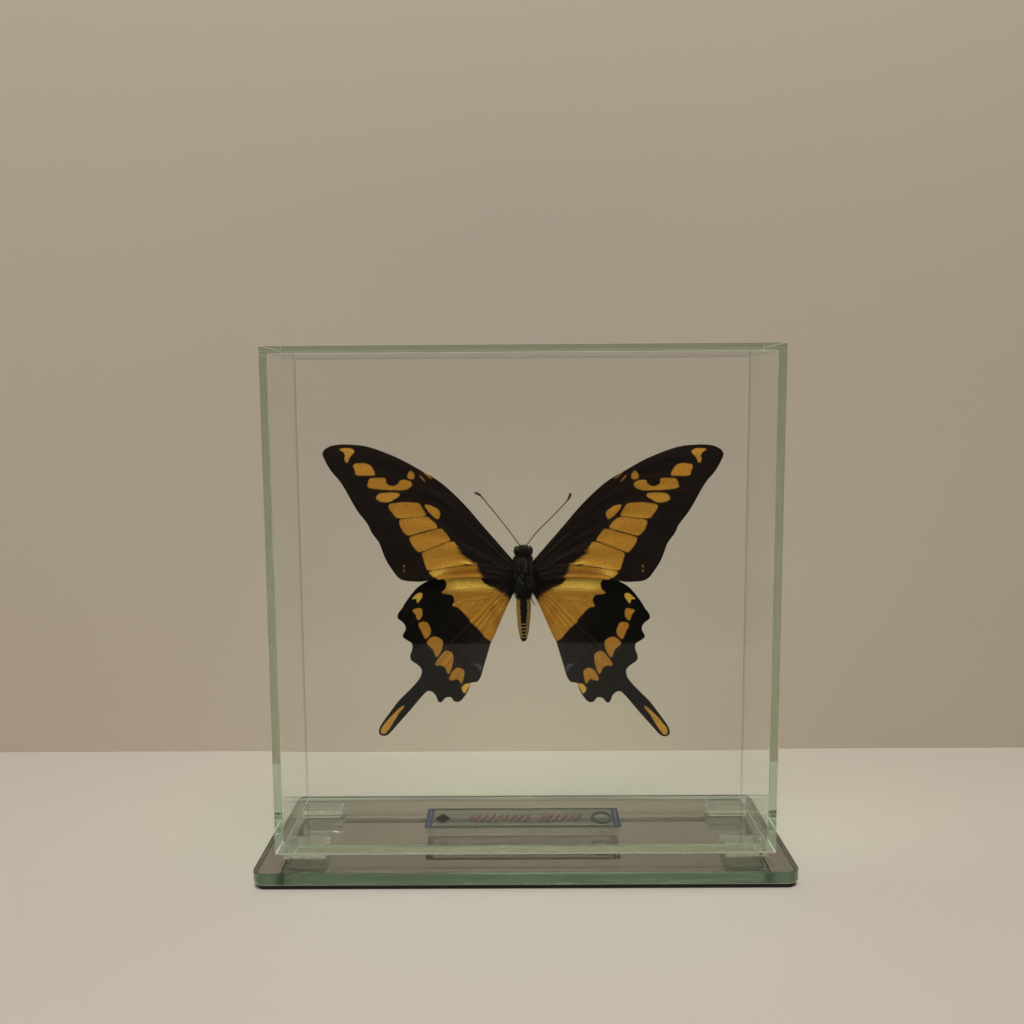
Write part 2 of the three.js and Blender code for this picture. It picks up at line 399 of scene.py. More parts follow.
class Graph:
    """Short ways to add and join the nodes of one tree."""

    def __init__(self, tree: bpy.types.NodeTree) -> None:
        """Takes the tree to build in."""
        self.tree = tree

    def add(self, kind: str, **settings: object) -> Node:
        """Adds a node and sets its own settings.

        Args:
            kind: the node's type name.
            settings: properties of the node.

        Returns:
            The new node.
        """
        node = self.tree.nodes.new(kind)
        for key, value in settings.items():
            setattr(node, key, value)
        return node

    def feed(self, socket: Socket, value: Fed) -> None:
        """Sets a socket to a plain value, or joins another socket to it.

        Args:
            socket: the socket that takes the value.
            value: a number, a colour, three numbers or another node's output.
        """
        if isinstance(value, Socket):
            self.tree.links.new(value, socket)
        elif socket.type == "RGBA":
            socket.default_value = (*value, 1.0)
        else:
            socket.default_value = value

    def fill(self, node: Node, values: dict[str, Fed]) -> None:
        """Feeds some of a node's sockets by name.

        Args:
            node: the node.
            values: what each named socket gets.
        """
        for name, value in values.items():
            self.feed(node.inputs[name], value)

    def math(self, operation: str, *inputs: Fed, clamp: bool = False) -> Socket:
        """A Math node's result.

        Args:
            operation: what the node does.
            inputs: up to three inputs.
            clamp: whether the result is held between 0 and 1.

        Returns:
            The result.
        """
        node = self.add("ShaderNodeMath", operation=operation, use_clamp=clamp)
        for socket, value in zip(node.inputs, inputs):
            self.feed(socket, value)
        return node.outputs[0]

    def times(self, first: Fed, second: Fed) -> Socket:
        """The product of two numbers."""
        return self.math("MULTIPLY", first, second)

    def gap(self, value: Fed, middle: float) -> Socket:
        """How far a value is from a middle, above nought on both sides."""
        return self.math("ABSOLUTE", self.math("SUBTRACT", value, middle))

    def shake(self, mask: Socket, amount: Fed, value: Fed) -> Socket:
        """A value moved up and down by a mask between 0 and 1 times an amount."""
        return self.math("MULTIPLY_ADD", self.math("SUBTRACT", mask, 0.5), amount, value)

    def ramp(self, value: Fed, step: Step) -> Socket:
        """A value passed through a smooth step.

        Args:
            value: the value.
            step: where the step lies and what it goes between.

        Returns:
            The result.
        """
        node = self.add("ShaderNodeMapRange", interpolation_type="SMOOTHSTEP")
        self.fill(node, {"Value": value, "From Min": step.low, "From Max": step.high})
        self.fill(node, {"To Min": step.start, "To Max": step.end})
        return node.outputs["Result"]

    def mix(self, share: Fed, first: Fed, second: Fed, blend: str = "MIX") -> Socket:
        """The colour that lies the given share of the way from first to second, or to their blend.

        Args:
            share: the share, between 0 and 1.
            first: the colour at 0.
            second: the colour at 1.
            blend: how the second colour is blended.

        Returns:
            The mixed colour.
        """
        node = self.add("ShaderNodeMix", data_type="RGBA", blend_type=blend)
        share_socket, first_socket, second_socket = (node.inputs[k] for k in (0, 6, 7))
        self.feed(share_socket, share)
        self.feed(first_socket, first)
        self.feed(second_socket, second)
        return node.outputs[2]

    def streaks(self, amounts: Place) -> Socket:
        """Soft noise between 0 and 1, drawn out along the piece's own map from root to edge.

        Args:
            amounts: how many times the noise goes along each axis of the map.

        Returns:
            The noise.
        """
        place = self.add("ShaderNodeVectorMath", operation="MULTIPLY")
        self.feed(place.inputs[0], self.add("ShaderNodeUVMap", uv_map="streak").outputs["UV"])
        place.inputs[1].default_value = amounts
        node = self.add("ShaderNodeTexNoise")
        self.fill(node, {"Vector": place.outputs[0], "Scale": 1.0, "Detail": 2.0, "Roughness": 0.5})
        return node.outputs["Fac"]

    def value_of(self, name: str) -> Socket:
        """A number that the piece's vertices carry."""
        return self.add("ShaderNodeAttribute", attribute_name=name).outputs["Fac"]

    def position(self) -> Socket:
        """The place on the piece, in its own metres."""
        return self.add("ShaderNodeTexCoord").outputs["Object"]

    def dents(self, height: Socket, grain: Grain) -> Socket:
        """A normal bent by a height.

        Args:
            height: the height, between 0 and 1.
            grain: how strong and how deep the dents are.

        Returns:
            The normal.
        """
        node = self.add("ShaderNodeBump")
        self.fill(node, {"Strength": grain.strength, "Distance": grain.depth, "Height": height})
        return node.outputs["Normal"]

    def let_through(self, share: Socket, shader: Node, output: Node, tint: Colour) -> None:
        """Lets light straight on, tinted, where the share is 1, and shows the shader where it is 0.

        Args:
            share: the share, 0 or 1.
            shader: the surface's shader.
            output: the material's output.
            tint: the tint of the light that goes through.
        """
        through = self.add("ShaderNodeBsdfTransparent")
        self.feed(through.inputs["Color"], tint)
        choose = self.add("ShaderNodeMixShader")
        for socket, value in zip(choose.inputs, (share, shader.outputs[0], through.outputs[0])):
            self.feed(socket, value)
        self.feed(output.inputs["Surface"], choose.outputs[0])


def new_material(name: str) -> tuple[Material, Graph, Node, Node]:
    """An empty material with a Principled shader joined to its output.

    Args:
        name: the material's name.

    Returns:
        The material, its graph, the shader and the output node.
    """
    material = bpy.data.materials.new(name)
    material.use_nodes = True
    material.node_tree.nodes.clear()
    graph = Graph(material.node_tree)
    shader = graph.add("ShaderNodeBsdfPrincipled")
    output = graph.add("ShaderNodeOutputMaterial")
    graph.feed(output.inputs["Surface"], shader.outputs[0])
    return material, graph, shader, output


class GrainGroup:
    """A shader node group for fine uneven grain, used by several finishes."""

    NAME = "fine_grain"
    SOCKETS = (
        ("Place", "INPUT", "NodeSocketVector"),
        ("Scale", "INPUT", "NodeSocketFloat"),
        ("Amount", "INPUT", "NodeSocketFloat"),
        ("Mask", "OUTPUT", "NodeSocketFloat"),
        ("Height", "OUTPUT", "NodeSocketFloat"),
    )
    COARSE, FINE = 1.0, 4.0

    @classmethod
    def tree(cls) -> bpy.types.NodeTree:
        """Builds the group once.

        Inputs are the place, the grain's scale and how strongly it shows. Outputs are a mask between 0 and 1
        and a height for a Bump node, which is the mean of a coarse and a fine noise.

        Returns:
            The group.
        """
        if cls.NAME in bpy.data.node_groups:
            return bpy.data.node_groups[cls.NAME]
        tree = bpy.data.node_groups.new(cls.NAME, "ShaderNodeTree")
        for name, way, kind in cls.SOCKETS:
            tree.interface.new_socket(name, in_out=way, socket_type=kind)
        graph = Graph(tree)
        given = graph.add("NodeGroupInput").outputs
        out = graph.add("NodeGroupOutput").inputs
        halves = []
        for finer in (cls.COARSE, cls.FINE):
            node = graph.add("ShaderNodeTexNoise")
            graph.fill(node, {"Vector": given["Place"], "Scale": graph.times(given["Scale"], finer)})
            halves.append(graph.times(node.outputs["Fac"], 0.5))
        both = graph.math("ADD", *halves)
        graph.feed(out["Height"], both)
        centred = graph.math("SUBTRACT", both, 0.5)
        graph.feed(out["Mask"], graph.math("MULTIPLY_ADD", centred, given["Amount"], 0.5, clamp=True))
        return tree

    @classmethod
    def use(cls, graph: Graph, grain: Grain) -> tuple[Socket, Socket]:
        """Places the group in a material with its own values.

        Args:
            graph: the material's graph.
            grain: the grain's scale and contrast.

        Returns:
            The mask and the height.
        """
        node = graph.add("ShaderNodeGroup", node_tree=cls.tree())
        graph.fill(node, {"Place": graph.position(), "Scale": grain.scale, "Amount": grain.contrast})
        return node.outputs["Mask"], node.outputs["Height"]


@dataclass(frozen=True)
class ClearFinish:
    """Glass or acrylic: clear through its faces, tinted by the way the light goes inside it."""

    name: str
    tint: Colour
    density: float = 30.0
    index: float = 1.5
    roughness: float = 0.0
    shine: float = 1.0
    shadow_tint: Colour = (0.93, 0.96, 0.93)
    smudge: float = 0.0
    edge_haze: float = 0.0
    clarity: float = 1.0
    surface: Colour = (1.0, 1.0, 1.0)
    # painted glow: emission standing in for light carried inside the sheet to its ground edge
    painted_glow: Colour = (0.0, 0.0, 0.0)
    smudge_grain: Grain = Grain(55.0, 1.6)
    smudged: Point = (0.52, 0.75)
    lying_flat: Point = (0.75, 0.97)

    def build(self) -> Material:
        """Makes the material.

        Lamps shine straight through with a slight tint, so what stands inside is lit. The painted glow is an
        emission that paints onto a ground edge the faint light a sheet carries inside it to that edge, which
        too few bounces would lose.

        Returns:
            The material.
        """
        material, graph, shader, output = new_material(self.name)
        graph.fill(shader, {
            "Base Color": self.surface,
            "Transmission Weight": self.clarity,
            "IOR": self.index,
            "Specular Tint": (self.shine, self.shine, self.shine),
            "Emission Color": self.painted_glow,
            "Emission Strength": 1.0 if any(self.painted_glow) else 0.0,
            "Roughness": self.dullness(graph),
        })
        rays = graph.add("ShaderNodeLightPath")
        graph.let_through(rays.outputs["Is Shadow Ray"], shader, output, self.shadow_tint)
        absorb = graph.add("ShaderNodeVolumeAbsorption")
        graph.fill(absorb, {"Color": self.tint, "Density": self.density})
        graph.feed(output.inputs["Volume"], absorb.outputs[0])
        return material

    def dullness(self, graph: Graph) -> Fed:
        """The roughness: more in the smudges, or more on the sides than on the faces that lie flat.

        Args:
            graph: the material's graph.

        Returns:
            The roughness, a plain number where it is the same all over.
        """
        if self.smudge > 0:
            mask, _ = GrainGroup.use(graph, self.smudge_grain)
            return graph.ramp(mask, Step(*self.smudged, self.roughness, self.roughness + self.smudge))
        if self.edge_haze > 0:
            facing = graph.add("ShaderNodeSeparateXYZ")
            graph.feed(facing.inputs[0], graph.add("ShaderNodeNewGeometry").outputs["Normal"])
            upright = graph.math("ABSOLUTE", facing.outputs["Z"])
            hazy = self.roughness + self.edge_haze
            return graph.ramp(upright, Step(*self.lying_flat, hazy, self.roughness))
        return self.roughness


@dataclass(frozen=True)
class SilverFinish:
    """The silvered layer: a clean mirror with faint clouding."""

    name: str = "silvering"
    colour: Colour = (0.66, 0.605, 0.605)
    clouded: Colour = (0.57, 0.525, 0.52)
    clouds: Grain = Grain(35.0, 1.5)
    dulled: Step = Step(0.4, 0.9, 0.03, 0.09)

    def build(self) -> Material:
        """Makes the material, duller where it is clouded.

        Returns:
            The material.
        """
        material, graph, shader, _ = new_material(self.name)
        mask, _ = GrainGroup.use(graph, self.clouds)
        graph.fill(shader, {
            "Metallic": 1.0,
            "Base Color": graph.mix(mask, self.colour, self.clouded),
            "Roughness": graph.ramp(mask, self.dulled),
        })
        return material


@dataclass(frozen=True)
class FeltAndShadeFinish:
    """Dark felt under the base; its near-black also paints the shade in the gap under the base."""

    name: str = "pad_felt_and_shade"
    # near-black: the felt's own dark, and painted shade for the gap under the base
    dark: Colour = (0.006, 0.006, 0.005)
    light: Colour = (0.03, 0.03, 0.027)
    nap: Grain = Grain(900.0, 2.0, 0.8, 0.0004)
    roughness: float = 0.95
    sheen: float = 0.3

    def build(self) -> Material:
        """Makes the material.

        Returns:
            The material.
        """
        material, graph, shader, _ = new_material(self.name)
        mask, height = GrainGroup.use(graph, self.nap)
        graph.fill(shader, {
            "Base Color": graph.mix(mask, self.dark, self.light),
            "Normal": graph.dents(height, self.nap),
            "Roughness": self.roughness,
            "Sheen Weight": self.sheen,
        })
        return material


@dataclass(frozen=True)
class FilmFinish:
    """The clear name film with its printed frame and plain marks.

    The print is worked out from distances to boxes and rings on the film, in millimetres from its middle.
    """

    middle: Point
    name: str = "label_film"
    clear: Colour = (0.09, 0.095, 0.08)
    line: Colour = (0.03, 0.04, 0.035)
    bar: Colour = (0.028, 0.034, 0.075)
    word: Colour = (0.115, 0.055, 0.045)
    dark: Colour = (0.005, 0.005, 0.004)
    clear_alpha: float = 0.2
    print_alpha: float = 0.96
    roughness: float = 0.3
    gloss: float = 0.15
    line_heights: Point = (-5.5, 7.7)
    line_half: Point = (30.4, 0.3)
    bar_places: tuple[float, ...] = (-30.4, -29.1, 29.1, 30.4)
    bar_half: Point = (0.42, 6.7)
    print_middle: Point = (0.0, 1.1)
    print_half: Point = (30.5, 6.7)
    words: tuple[tuple[Point, Point], ...] = (((-7.4, 0.8), (9.9, 2.1)), ((12.0, 0.8), (7.0, 2.1)))
    lean: float = -0.45
    stroke_spacing: float = 1.15
    strokes: Step = Step(0.35, 0.7)
    diamond_middle: Point = (-25.6, 0.6)
    diamond_squash: float = 0.7
    diamond: Step = Step(2.2, 2.6, 1.0, 0.0)
    ring_middle: Point = (25.2, 0.8)
    ring_squash: float = 0.72
    ring_radius: float = 2.9
    ring_line: Step = Step(0.25, 0.55, 1.0, 0.0)
    edge: float = 0.15
    word_edge: float = 0.35

    def box(self, graph: Graph, place: list[Socket], centre: Point, half: Point, edge: float) -> Socket:
        """1 inside a box on the film and 0 outside it.

        Args:
            graph: the material's graph.
            place: separated x and y, in millimetres from the film's middle.
            centre: the box's middle, in millimetres.
            half: half its width and depth, in millimetres.
            edge: how wide its soft edge is, in millimetres.

        Returns:
            The mask.
        """
        gaps = [
            graph.math("SUBTRACT", graph.gap(value, middle), reach)
            for value, middle, reach in zip(place, centre, half)
        ]
        return graph.ramp(graph.math("MAXIMUM", *gaps), Step(-edge, edge, 1.0, 0.0))

    def either(self, graph: Graph, masks: list[Socket]) -> Socket:
        """The greatest of several masks.

        Args:
            graph: the material's graph.
            masks: the masks.

        Returns:
            The mask that is 1 where any of them is.
        """
        top = masks[0]
        for mask in masks[1:]:
            top = graph.math("MAXIMUM", top, mask)
        return top

    def lettering(self, graph: Graph, place: list[Socket]) -> Socket:
        """Two rows of plain slanted strokes where words would be.

        Args:
            graph: the material's graph.
            place: x and y, in millimetres from the film's middle.

        Returns:
            The mask.
        """
        words = self.either(graph, [self.box(graph, place, *word, self.word_edge) for word in self.words])
        slant = graph.math("MULTIPLY_ADD", place[1], self.lean, place[0])
        strokes = graph.ramp(graph.math("PINGPONG", slant, self.stroke_spacing), self.strokes)
        return graph.times(words, strokes)

    def diamond_mask(self, graph: Graph, place: list[Socket]) -> Socket:
        """A solid diamond: where |x| + squash * |y| is small.

        Args:
            graph: the material's graph.
            place: x and y, in millimetres from the film's middle.

        Returns:
            The mask.
        """
        x, y = (graph.gap(value, middle) for value, middle in zip(place, self.diamond_middle))
        return graph.ramp(graph.math("ADD", x, graph.times(y, self.diamond_squash)), self.diamond)

    def ring_mask(self, graph: Graph, place: list[Socket]) -> Socket:
        """A thin ring: where the root of x^2 + (squash * y)^2 is near the radius.

        Args:
            graph: the material's graph.
            place: x and y, in millimetres from the film's middle.

        Returns:
            The mask.
        """
        x, y = (graph.gap(value, middle) for value, middle in zip(place, self.ring_middle))
        squares = [graph.math("POWER", side, 2.0) for side in (x, graph.times(y, self.ring_squash))]
        radius = graph.math("SQRT", graph.math("ADD", *squares))
        return graph.ramp(graph.gap(radius, self.ring_radius), self.ring_line)

    def build(self) -> Material:
        """Makes the material.

        Returns:
            The material.
        """
        material, graph, shader, _ = new_material(self.name)
        parts = graph.add("ShaderNodeSeparateXYZ")
        graph.feed(parts.inputs[0], graph.position())
        place = [
            graph.times(graph.math("SUBTRACT", along, middle), 1 / MM)
            for along, middle in zip(parts.outputs, self.middle)
        ]
        line_middles = [(0.0, y) for y in self.line_heights]
        bar_middles = [(x, self.print_middle[1]) for x in self.bar_places]
        lines, bars = (
            self.either(graph, [self.box(graph, place, middle, half, self.edge) for middle in middles])
            for middles, half in ((line_middles, self.line_half), (bar_middles, self.bar_half))
        )
        words = self.lettering(graph, place)
        diamond = self.diamond_mask(graph, place)
        ring = self.ring_mask(graph, place)
        colour = self.clear
        for mask, ink in (
            (lines, self.line), (bars, self.bar), (words, self.word), (diamond, self.dark), (ring, self.line),
        ):
            colour = graph.mix(mask, colour, ink)
        printed = self.either(graph, [lines, bars, words, diamond, ring])
        film = self.box(graph, place, self.print_middle, self.print_half, self.edge)
        alphas = graph.times(film, self.clear_alpha), graph.times(printed, self.print_alpha)
        graph.fill(shader, {
            "Base Color": colour,
            "Alpha": graph.math("MAXIMUM", *alphas),
            "Roughness": self.roughness,
            "Specular IOR Level": self.gloss,
        })
        return material


@dataclass(frozen=True)
class WingFinish:
    """Wing scales: black ground, orange-yellow patches, veins, streaks and a paler underside, with painted
    highlights in the tone and painted light in the warmth.

    The steps are read from the numbers that the wing carries, in millimetres where they are distances.
    """

    name: str = "wing_scales"
    black: Colour = (0.0032, 0.0027, 0.0019)
    umber: Colour = (0.0125, 0.0070, 0.0055)
    brown: Colour = (0.024, 0.0135, 0.010)
    orange: Colour = (0.36, 0.140, 0.018)
    yellow: Colour = (0.47, 0.212, 0.027)
    bright: Colour = (1.0, 0.63, 0.11)
    cream: Colour = (0.62, 0.52, 0.32)
    under: Colour = (0.50, 0.40, 0.17)
    under_dark: Colour = (0.045, 0.03, 0.018)
    blue: Colour = (0.075, 0.085, 0.105)
    worn_vein: Colour = (0.06, 0.043, 0.034)
    roughness: float = 0.72
    gloss: float = 0.07
    scales: Grain = Grain(1500.0, 1.8, 0.35, 0.00006)
    fine_streak: Place = (6.0, 260.0, 1.0)
    coarse_streak: Place = (2.5, 70.0, 1.0)
    edge_shake: Step = Step(0.0, 1.0, 0.35, 5.0)
    scale_shake: float = 0.25
    patch_edge: Step = Step(-0.16, 0.16)
    to_yellow: Step = Step(-1.0, 0.0)
    to_bright: Step = Step(0.0, 1.0)
    to_cream: Step = Step(1.0, 2.0)
    dust: Step = Step(0.35, 0.75)
    dust_share: float = 0.12
    crease: Step = Step(0.03, 0.15, 0.5, 0.0)
    worn_fine: Step = Step(0.5, 0.8)
    worn_coarse: Step = Step(0.3, 0.7)
    worn_share: float = 0.5
    # warmth past 1 turns the ground brown: painted light where the forewing's shadow falls on the hindwing's
    # root
    to_brown: Step = Step(1.0, 2.0)
    ridge_line: Step = Step(0.02, 0.14, 1.0, 0.0)
    ridge_share: float = 0.65
    under_vein: Step = Step(0.1, 0.5, 0.85, 0.0)
    under_ground: Step = Step(-5.5, -1.5, 0.9, 0.0)
    speckle: Step = Step(0.2, 0.8, 0.82, 1.12)
    streak_height: float = 0.25

    def light_scales(self, graph: Graph, coarse: Socket) -> Socket:
        """The colour of the patches: orange to cream by tone, which also carries painted highlights, dusty in
        streaks and brown along the veins.

        Args:
            graph: the material's graph.
            coarse: the coarse streaks.

        Returns:
            The colour.
        """
        tone = graph.value_of("tone")
        colour = self.orange
        for step, next_colour in (
            (self.to_yellow, self.yellow), (self.to_bright, self.bright), (self.to_cream, self.cream),
        ):
            colour = graph.mix(graph.ramp(tone, step), colour, next_colour)
        dusty = graph.times(graph.ramp(coarse, self.dust), self.dust_share)
        colour = graph.mix(dusty, colour, self.orange)
        return graph.mix(graph.ramp(graph.value_of("vein"), self.crease), colour, self.brown)

    def dark_scales(self, graph: Graph, fine: Socket, coarse: Socket) -> Socket:
        """The colour of the ground: black to brown by warmth, with worn streaks, pale ridges and a blue arc;
        warmth past 1 paints light on the hindwing's root in the forewing's shadow.

        Args:
            graph: the material's graph.
            fine: the fine streaks.
            coarse: the coarse streaks.

        Returns:
            The colour.
        """
        worn = graph.times(graph.ramp(fine, self.worn_fine), graph.ramp(coarse, self.worn_coarse))
        warmth = graph.value_of("warmth")
        colour = graph.mix(warmth, self.black, self.umber)
        # painted light: past warmth 1 the shaded hindwing root is lifted to brown
        colour = graph.mix(graph.ramp(warmth, self.to_brown), colour, self.brown)
        colour = graph.mix(graph.times(worn, graph.times(warmth, self.worn_share)), colour, self.brown)
        ridge = graph.times(graph.ramp(graph.value_of("vein"), self.ridge_line), graph.value_of("ridge"))
        colour = graph.mix(graph.times(ridge, self.ridge_share), colour, self.worn_vein)
        return graph.mix(graph.value_of("blue"), colour, self.blue)

    def build(self) -> Material:
        """Makes the material.

        The patches are where the carried distance, shaken a little by streaks and grain, is above nought.

        Returns:
            The material.
        """
        material, graph, shader, _ = new_material(self.name)
        fine, coarse = (graph.streaks(amounts) for amounts in (self.fine_streak, self.coarse_streak))
        mask, height = GrainGroup.use(graph, self.scales)
        shaken = graph.ramp(graph.value_of("fray"), self.edge_shake)
        level = graph.shake(mask, self.scale_shake, graph.shake(fine, shaken, graph.value_of("patch")))
        light, ground = self.light_scales(graph, coarse), self.dark_scales(graph, fine, coarse)
        colour = graph.mix(graph.ramp(level, self.patch_edge), ground, light)
        pale = graph.mix(graph.ramp(graph.value_of("vein"), self.under_vein), self.under, self.under_dark)
        pale = graph.mix(graph.ramp(level, self.under_ground), pale, self.under_dark)
        colour = graph.mix(graph.value_of("underside"), colour, pale)
        relief = graph.math("MULTIPLY_ADD", fine, self.streak_height, height)
        graph.fill(shader, {
            "Base Color": graph.mix(1.0, colour, graph.ramp(mask, self.speckle), "MULTIPLY"),
            "Normal": graph.dents(relief, self.scales),
            "Roughness": self.roughness,
            "Specular IOR Level": self.gloss,
        })
        return material


@dataclass(frozen=True)
class ChitinFinish:
    """Dark dried shell of antennae, legs and eyes, and the dark stuff of hairs."""

    name: str
    colour: Colour
    roughness: float
    scale: float = 1200.0
    gloss: float = 0.5
    contrast: float = 1.6
    strength: float = 0.3
    depth: float = 0.00005
    paler: float = 2.2

    def build(self) -> Material:
        """Makes the material.

        Returns:
            The material.
        """
        material, graph, shader, _ = new_material(self.name)
        grain = Grain(self.scale, self.contrast, self.strength, self.depth)
        mask, height = GrainGroup.use(graph, grain)
        pale = tuple(min(1.0, self.paler * c) for c in self.colour)
        graph.fill(shader, {
            "Base Color": graph.mix(mask, self.colour, pale),
            "Normal": graph.dents(height, grain),
            "Roughness": self.roughness,
            "Specular IOR Level": self.gloss,
        })
        return material


@dataclass(frozen=True)
class BodyFinish:
    """Skin of the body: black back stripe, cream sides with fine lines, dark thorax.

    Its steps are over the angle from the middle of the back, in radians, or the height above the waist.
    """

    name: str = "body_skin"
    dark: Colour = (0.0085, 0.006, 0.0035)
    side: Colour = (0.29, 0.17, 0.055)
    edge: Colour = (0.72, 0.52, 0.24)
    roughness: float = 0.8
    gloss: float = 0.12
    skin: Grain = Grain(1400.0, 1.8, 0.4, 0.00008)
    angle_shake: float = 0.3
    stripe_half: Step = Step(-13.0, -2.0, 0.34, 0.5)
    stripe_edge: Step = Step(-0.08, 0.08, 1.0, 0.0)
    line_angle: float = 0.98
    line: Step = Step(0.05, 0.14, 1.0, 0.0)
    line_share: float = 0.3
    to_edge: Step = Step(0.9, 1.5)
    ring_spacing: float = 0.55
    ring: Step = Step(0.4, 0.5)
    ringed: Step = Step(-8.6, -7.2, 1.0, 0.0)
    ring_reach: Step = Step(0.22, 0.42, 0.75, 0.0)
    tip: Step = Step(-13.2, -12.4, 1.0, 0.0)
    thorax: Step = Step(-1.2, 0.0)

    def build(self) -> Material:
        """Makes the material.

        The back stripe is where the carried angle from the back is small, and it is cut by pale rings
        near the tip.

        Returns:
            The material.
        """
        material, graph, shader, _ = new_material(self.name)
        angle, along = graph.value_of("turn"), graph.value_of("along")
        mask, height = GrainGroup.use(graph, self.skin)
        shaken = graph.shake(mask, self.angle_shake, angle)
        past_stripe = graph.math("SUBTRACT", shaken, graph.ramp(along, self.stripe_half))
        fine_line = graph.times(graph.ramp(graph.gap(shaken, self.line_angle), self.line), self.line_share)
        rings = graph.ramp(graph.math("PINGPONG", along, self.ring_spacing), self.ring)
        rings = graph.times(rings, graph.ramp(along, self.ringed))
        rings = graph.times(rings, graph.ramp(angle, self.ring_reach))
        ends = graph.math("MAXIMUM", graph.ramp(along, self.thorax), graph.ramp(along, self.tip))
        colour = graph.mix(graph.ramp(shaken, self.to_edge), self.side, self.edge)
        for share, next_colour in (
            (fine_line, self.dark),
            (graph.ramp(past_stripe, self.stripe_edge), self.dark),
            (rings, self.edge),
            (ends, self.dark),
        ):
            colour = graph.mix(share, colour, next_colour)
        graph.fill(shader, {
            "Base Color": colour,
            "Normal": graph.dents(height, self.skin),
            "Roughness": self.roughness,
            "Specular IOR Level": self.gloss,
        })
        return material


@dataclass(frozen=True)
class StageFinish:
    """Plain matt paint for the floor or backdrop."""

    name: str
    colour: Colour
    one_sided: bool = False
    roughness: float = 0.9
    gloss: float = 0.1

    def build(self) -> Material:
        """Makes the material; a one-sided sheet isn't there when seen from behind.

        Returns:
            The material.
        """
        material, graph, shader, output = new_material(self.name)
        graph.fill(shader, {
            "Base Color": self.colour, "Roughness": self.roughness, "Specular IOR Level": self.gloss,
        })
        if self.one_sided:
            behind = graph.add("ShaderNodeNewGeometry").outputs["Backfacing"]
            graph.let_through(behind, shader, output, (1.0, 1.0, 1.0))
        return material


# ---- the case ----


class Glazing(Enum):
    """The clear stuffs of the case."""

    CASE = "case"
    EDGE = "edge"
    RIM = "rim"
    BASE = "base"
    BLOCK = "block"


GROUND_TINT = (0.64, 0.72, 0.6)

CLEAR_FINISHES = {
    Glazing.CASE: ClearFinish("case_glass", tint=(0.62, 0.74, 0.6), shine=0.36),
    Glazing.EDGE: ClearFinish(
        "ground_edge", GROUND_TINT, roughness=0.5, shine=0.6, clarity=0.65, surface=(0.8, 0.77, 0.68),
        # painted glow on the ground edges, standing in for light carried down inside the panes
        painted_glow=(0.2, 0.19, 0.15),
    ),
    Glazing.RIM: ClearFinish(
        "ground_rim", GROUND_TINT, roughness=0.5, shine=0.5, clarity=0.35, surface=(0.27, 0.265, 0.21),
    ),
    Glazing.BASE: ClearFinish(
        "base_glass", tint=(0.53, 0.665, 0.56), density=60.0, shine=0.8, edge_haze=0.22,
    ),
    Glazing.BLOCK: ClearFinish(
        "block_acrylic", tint=(0.9, 0.95, 0.9), density=8.0, index=1.49, smudge=0.12, clarity=0.965,
        surface=(0.8, 0.84, 0.76),
    ),
}


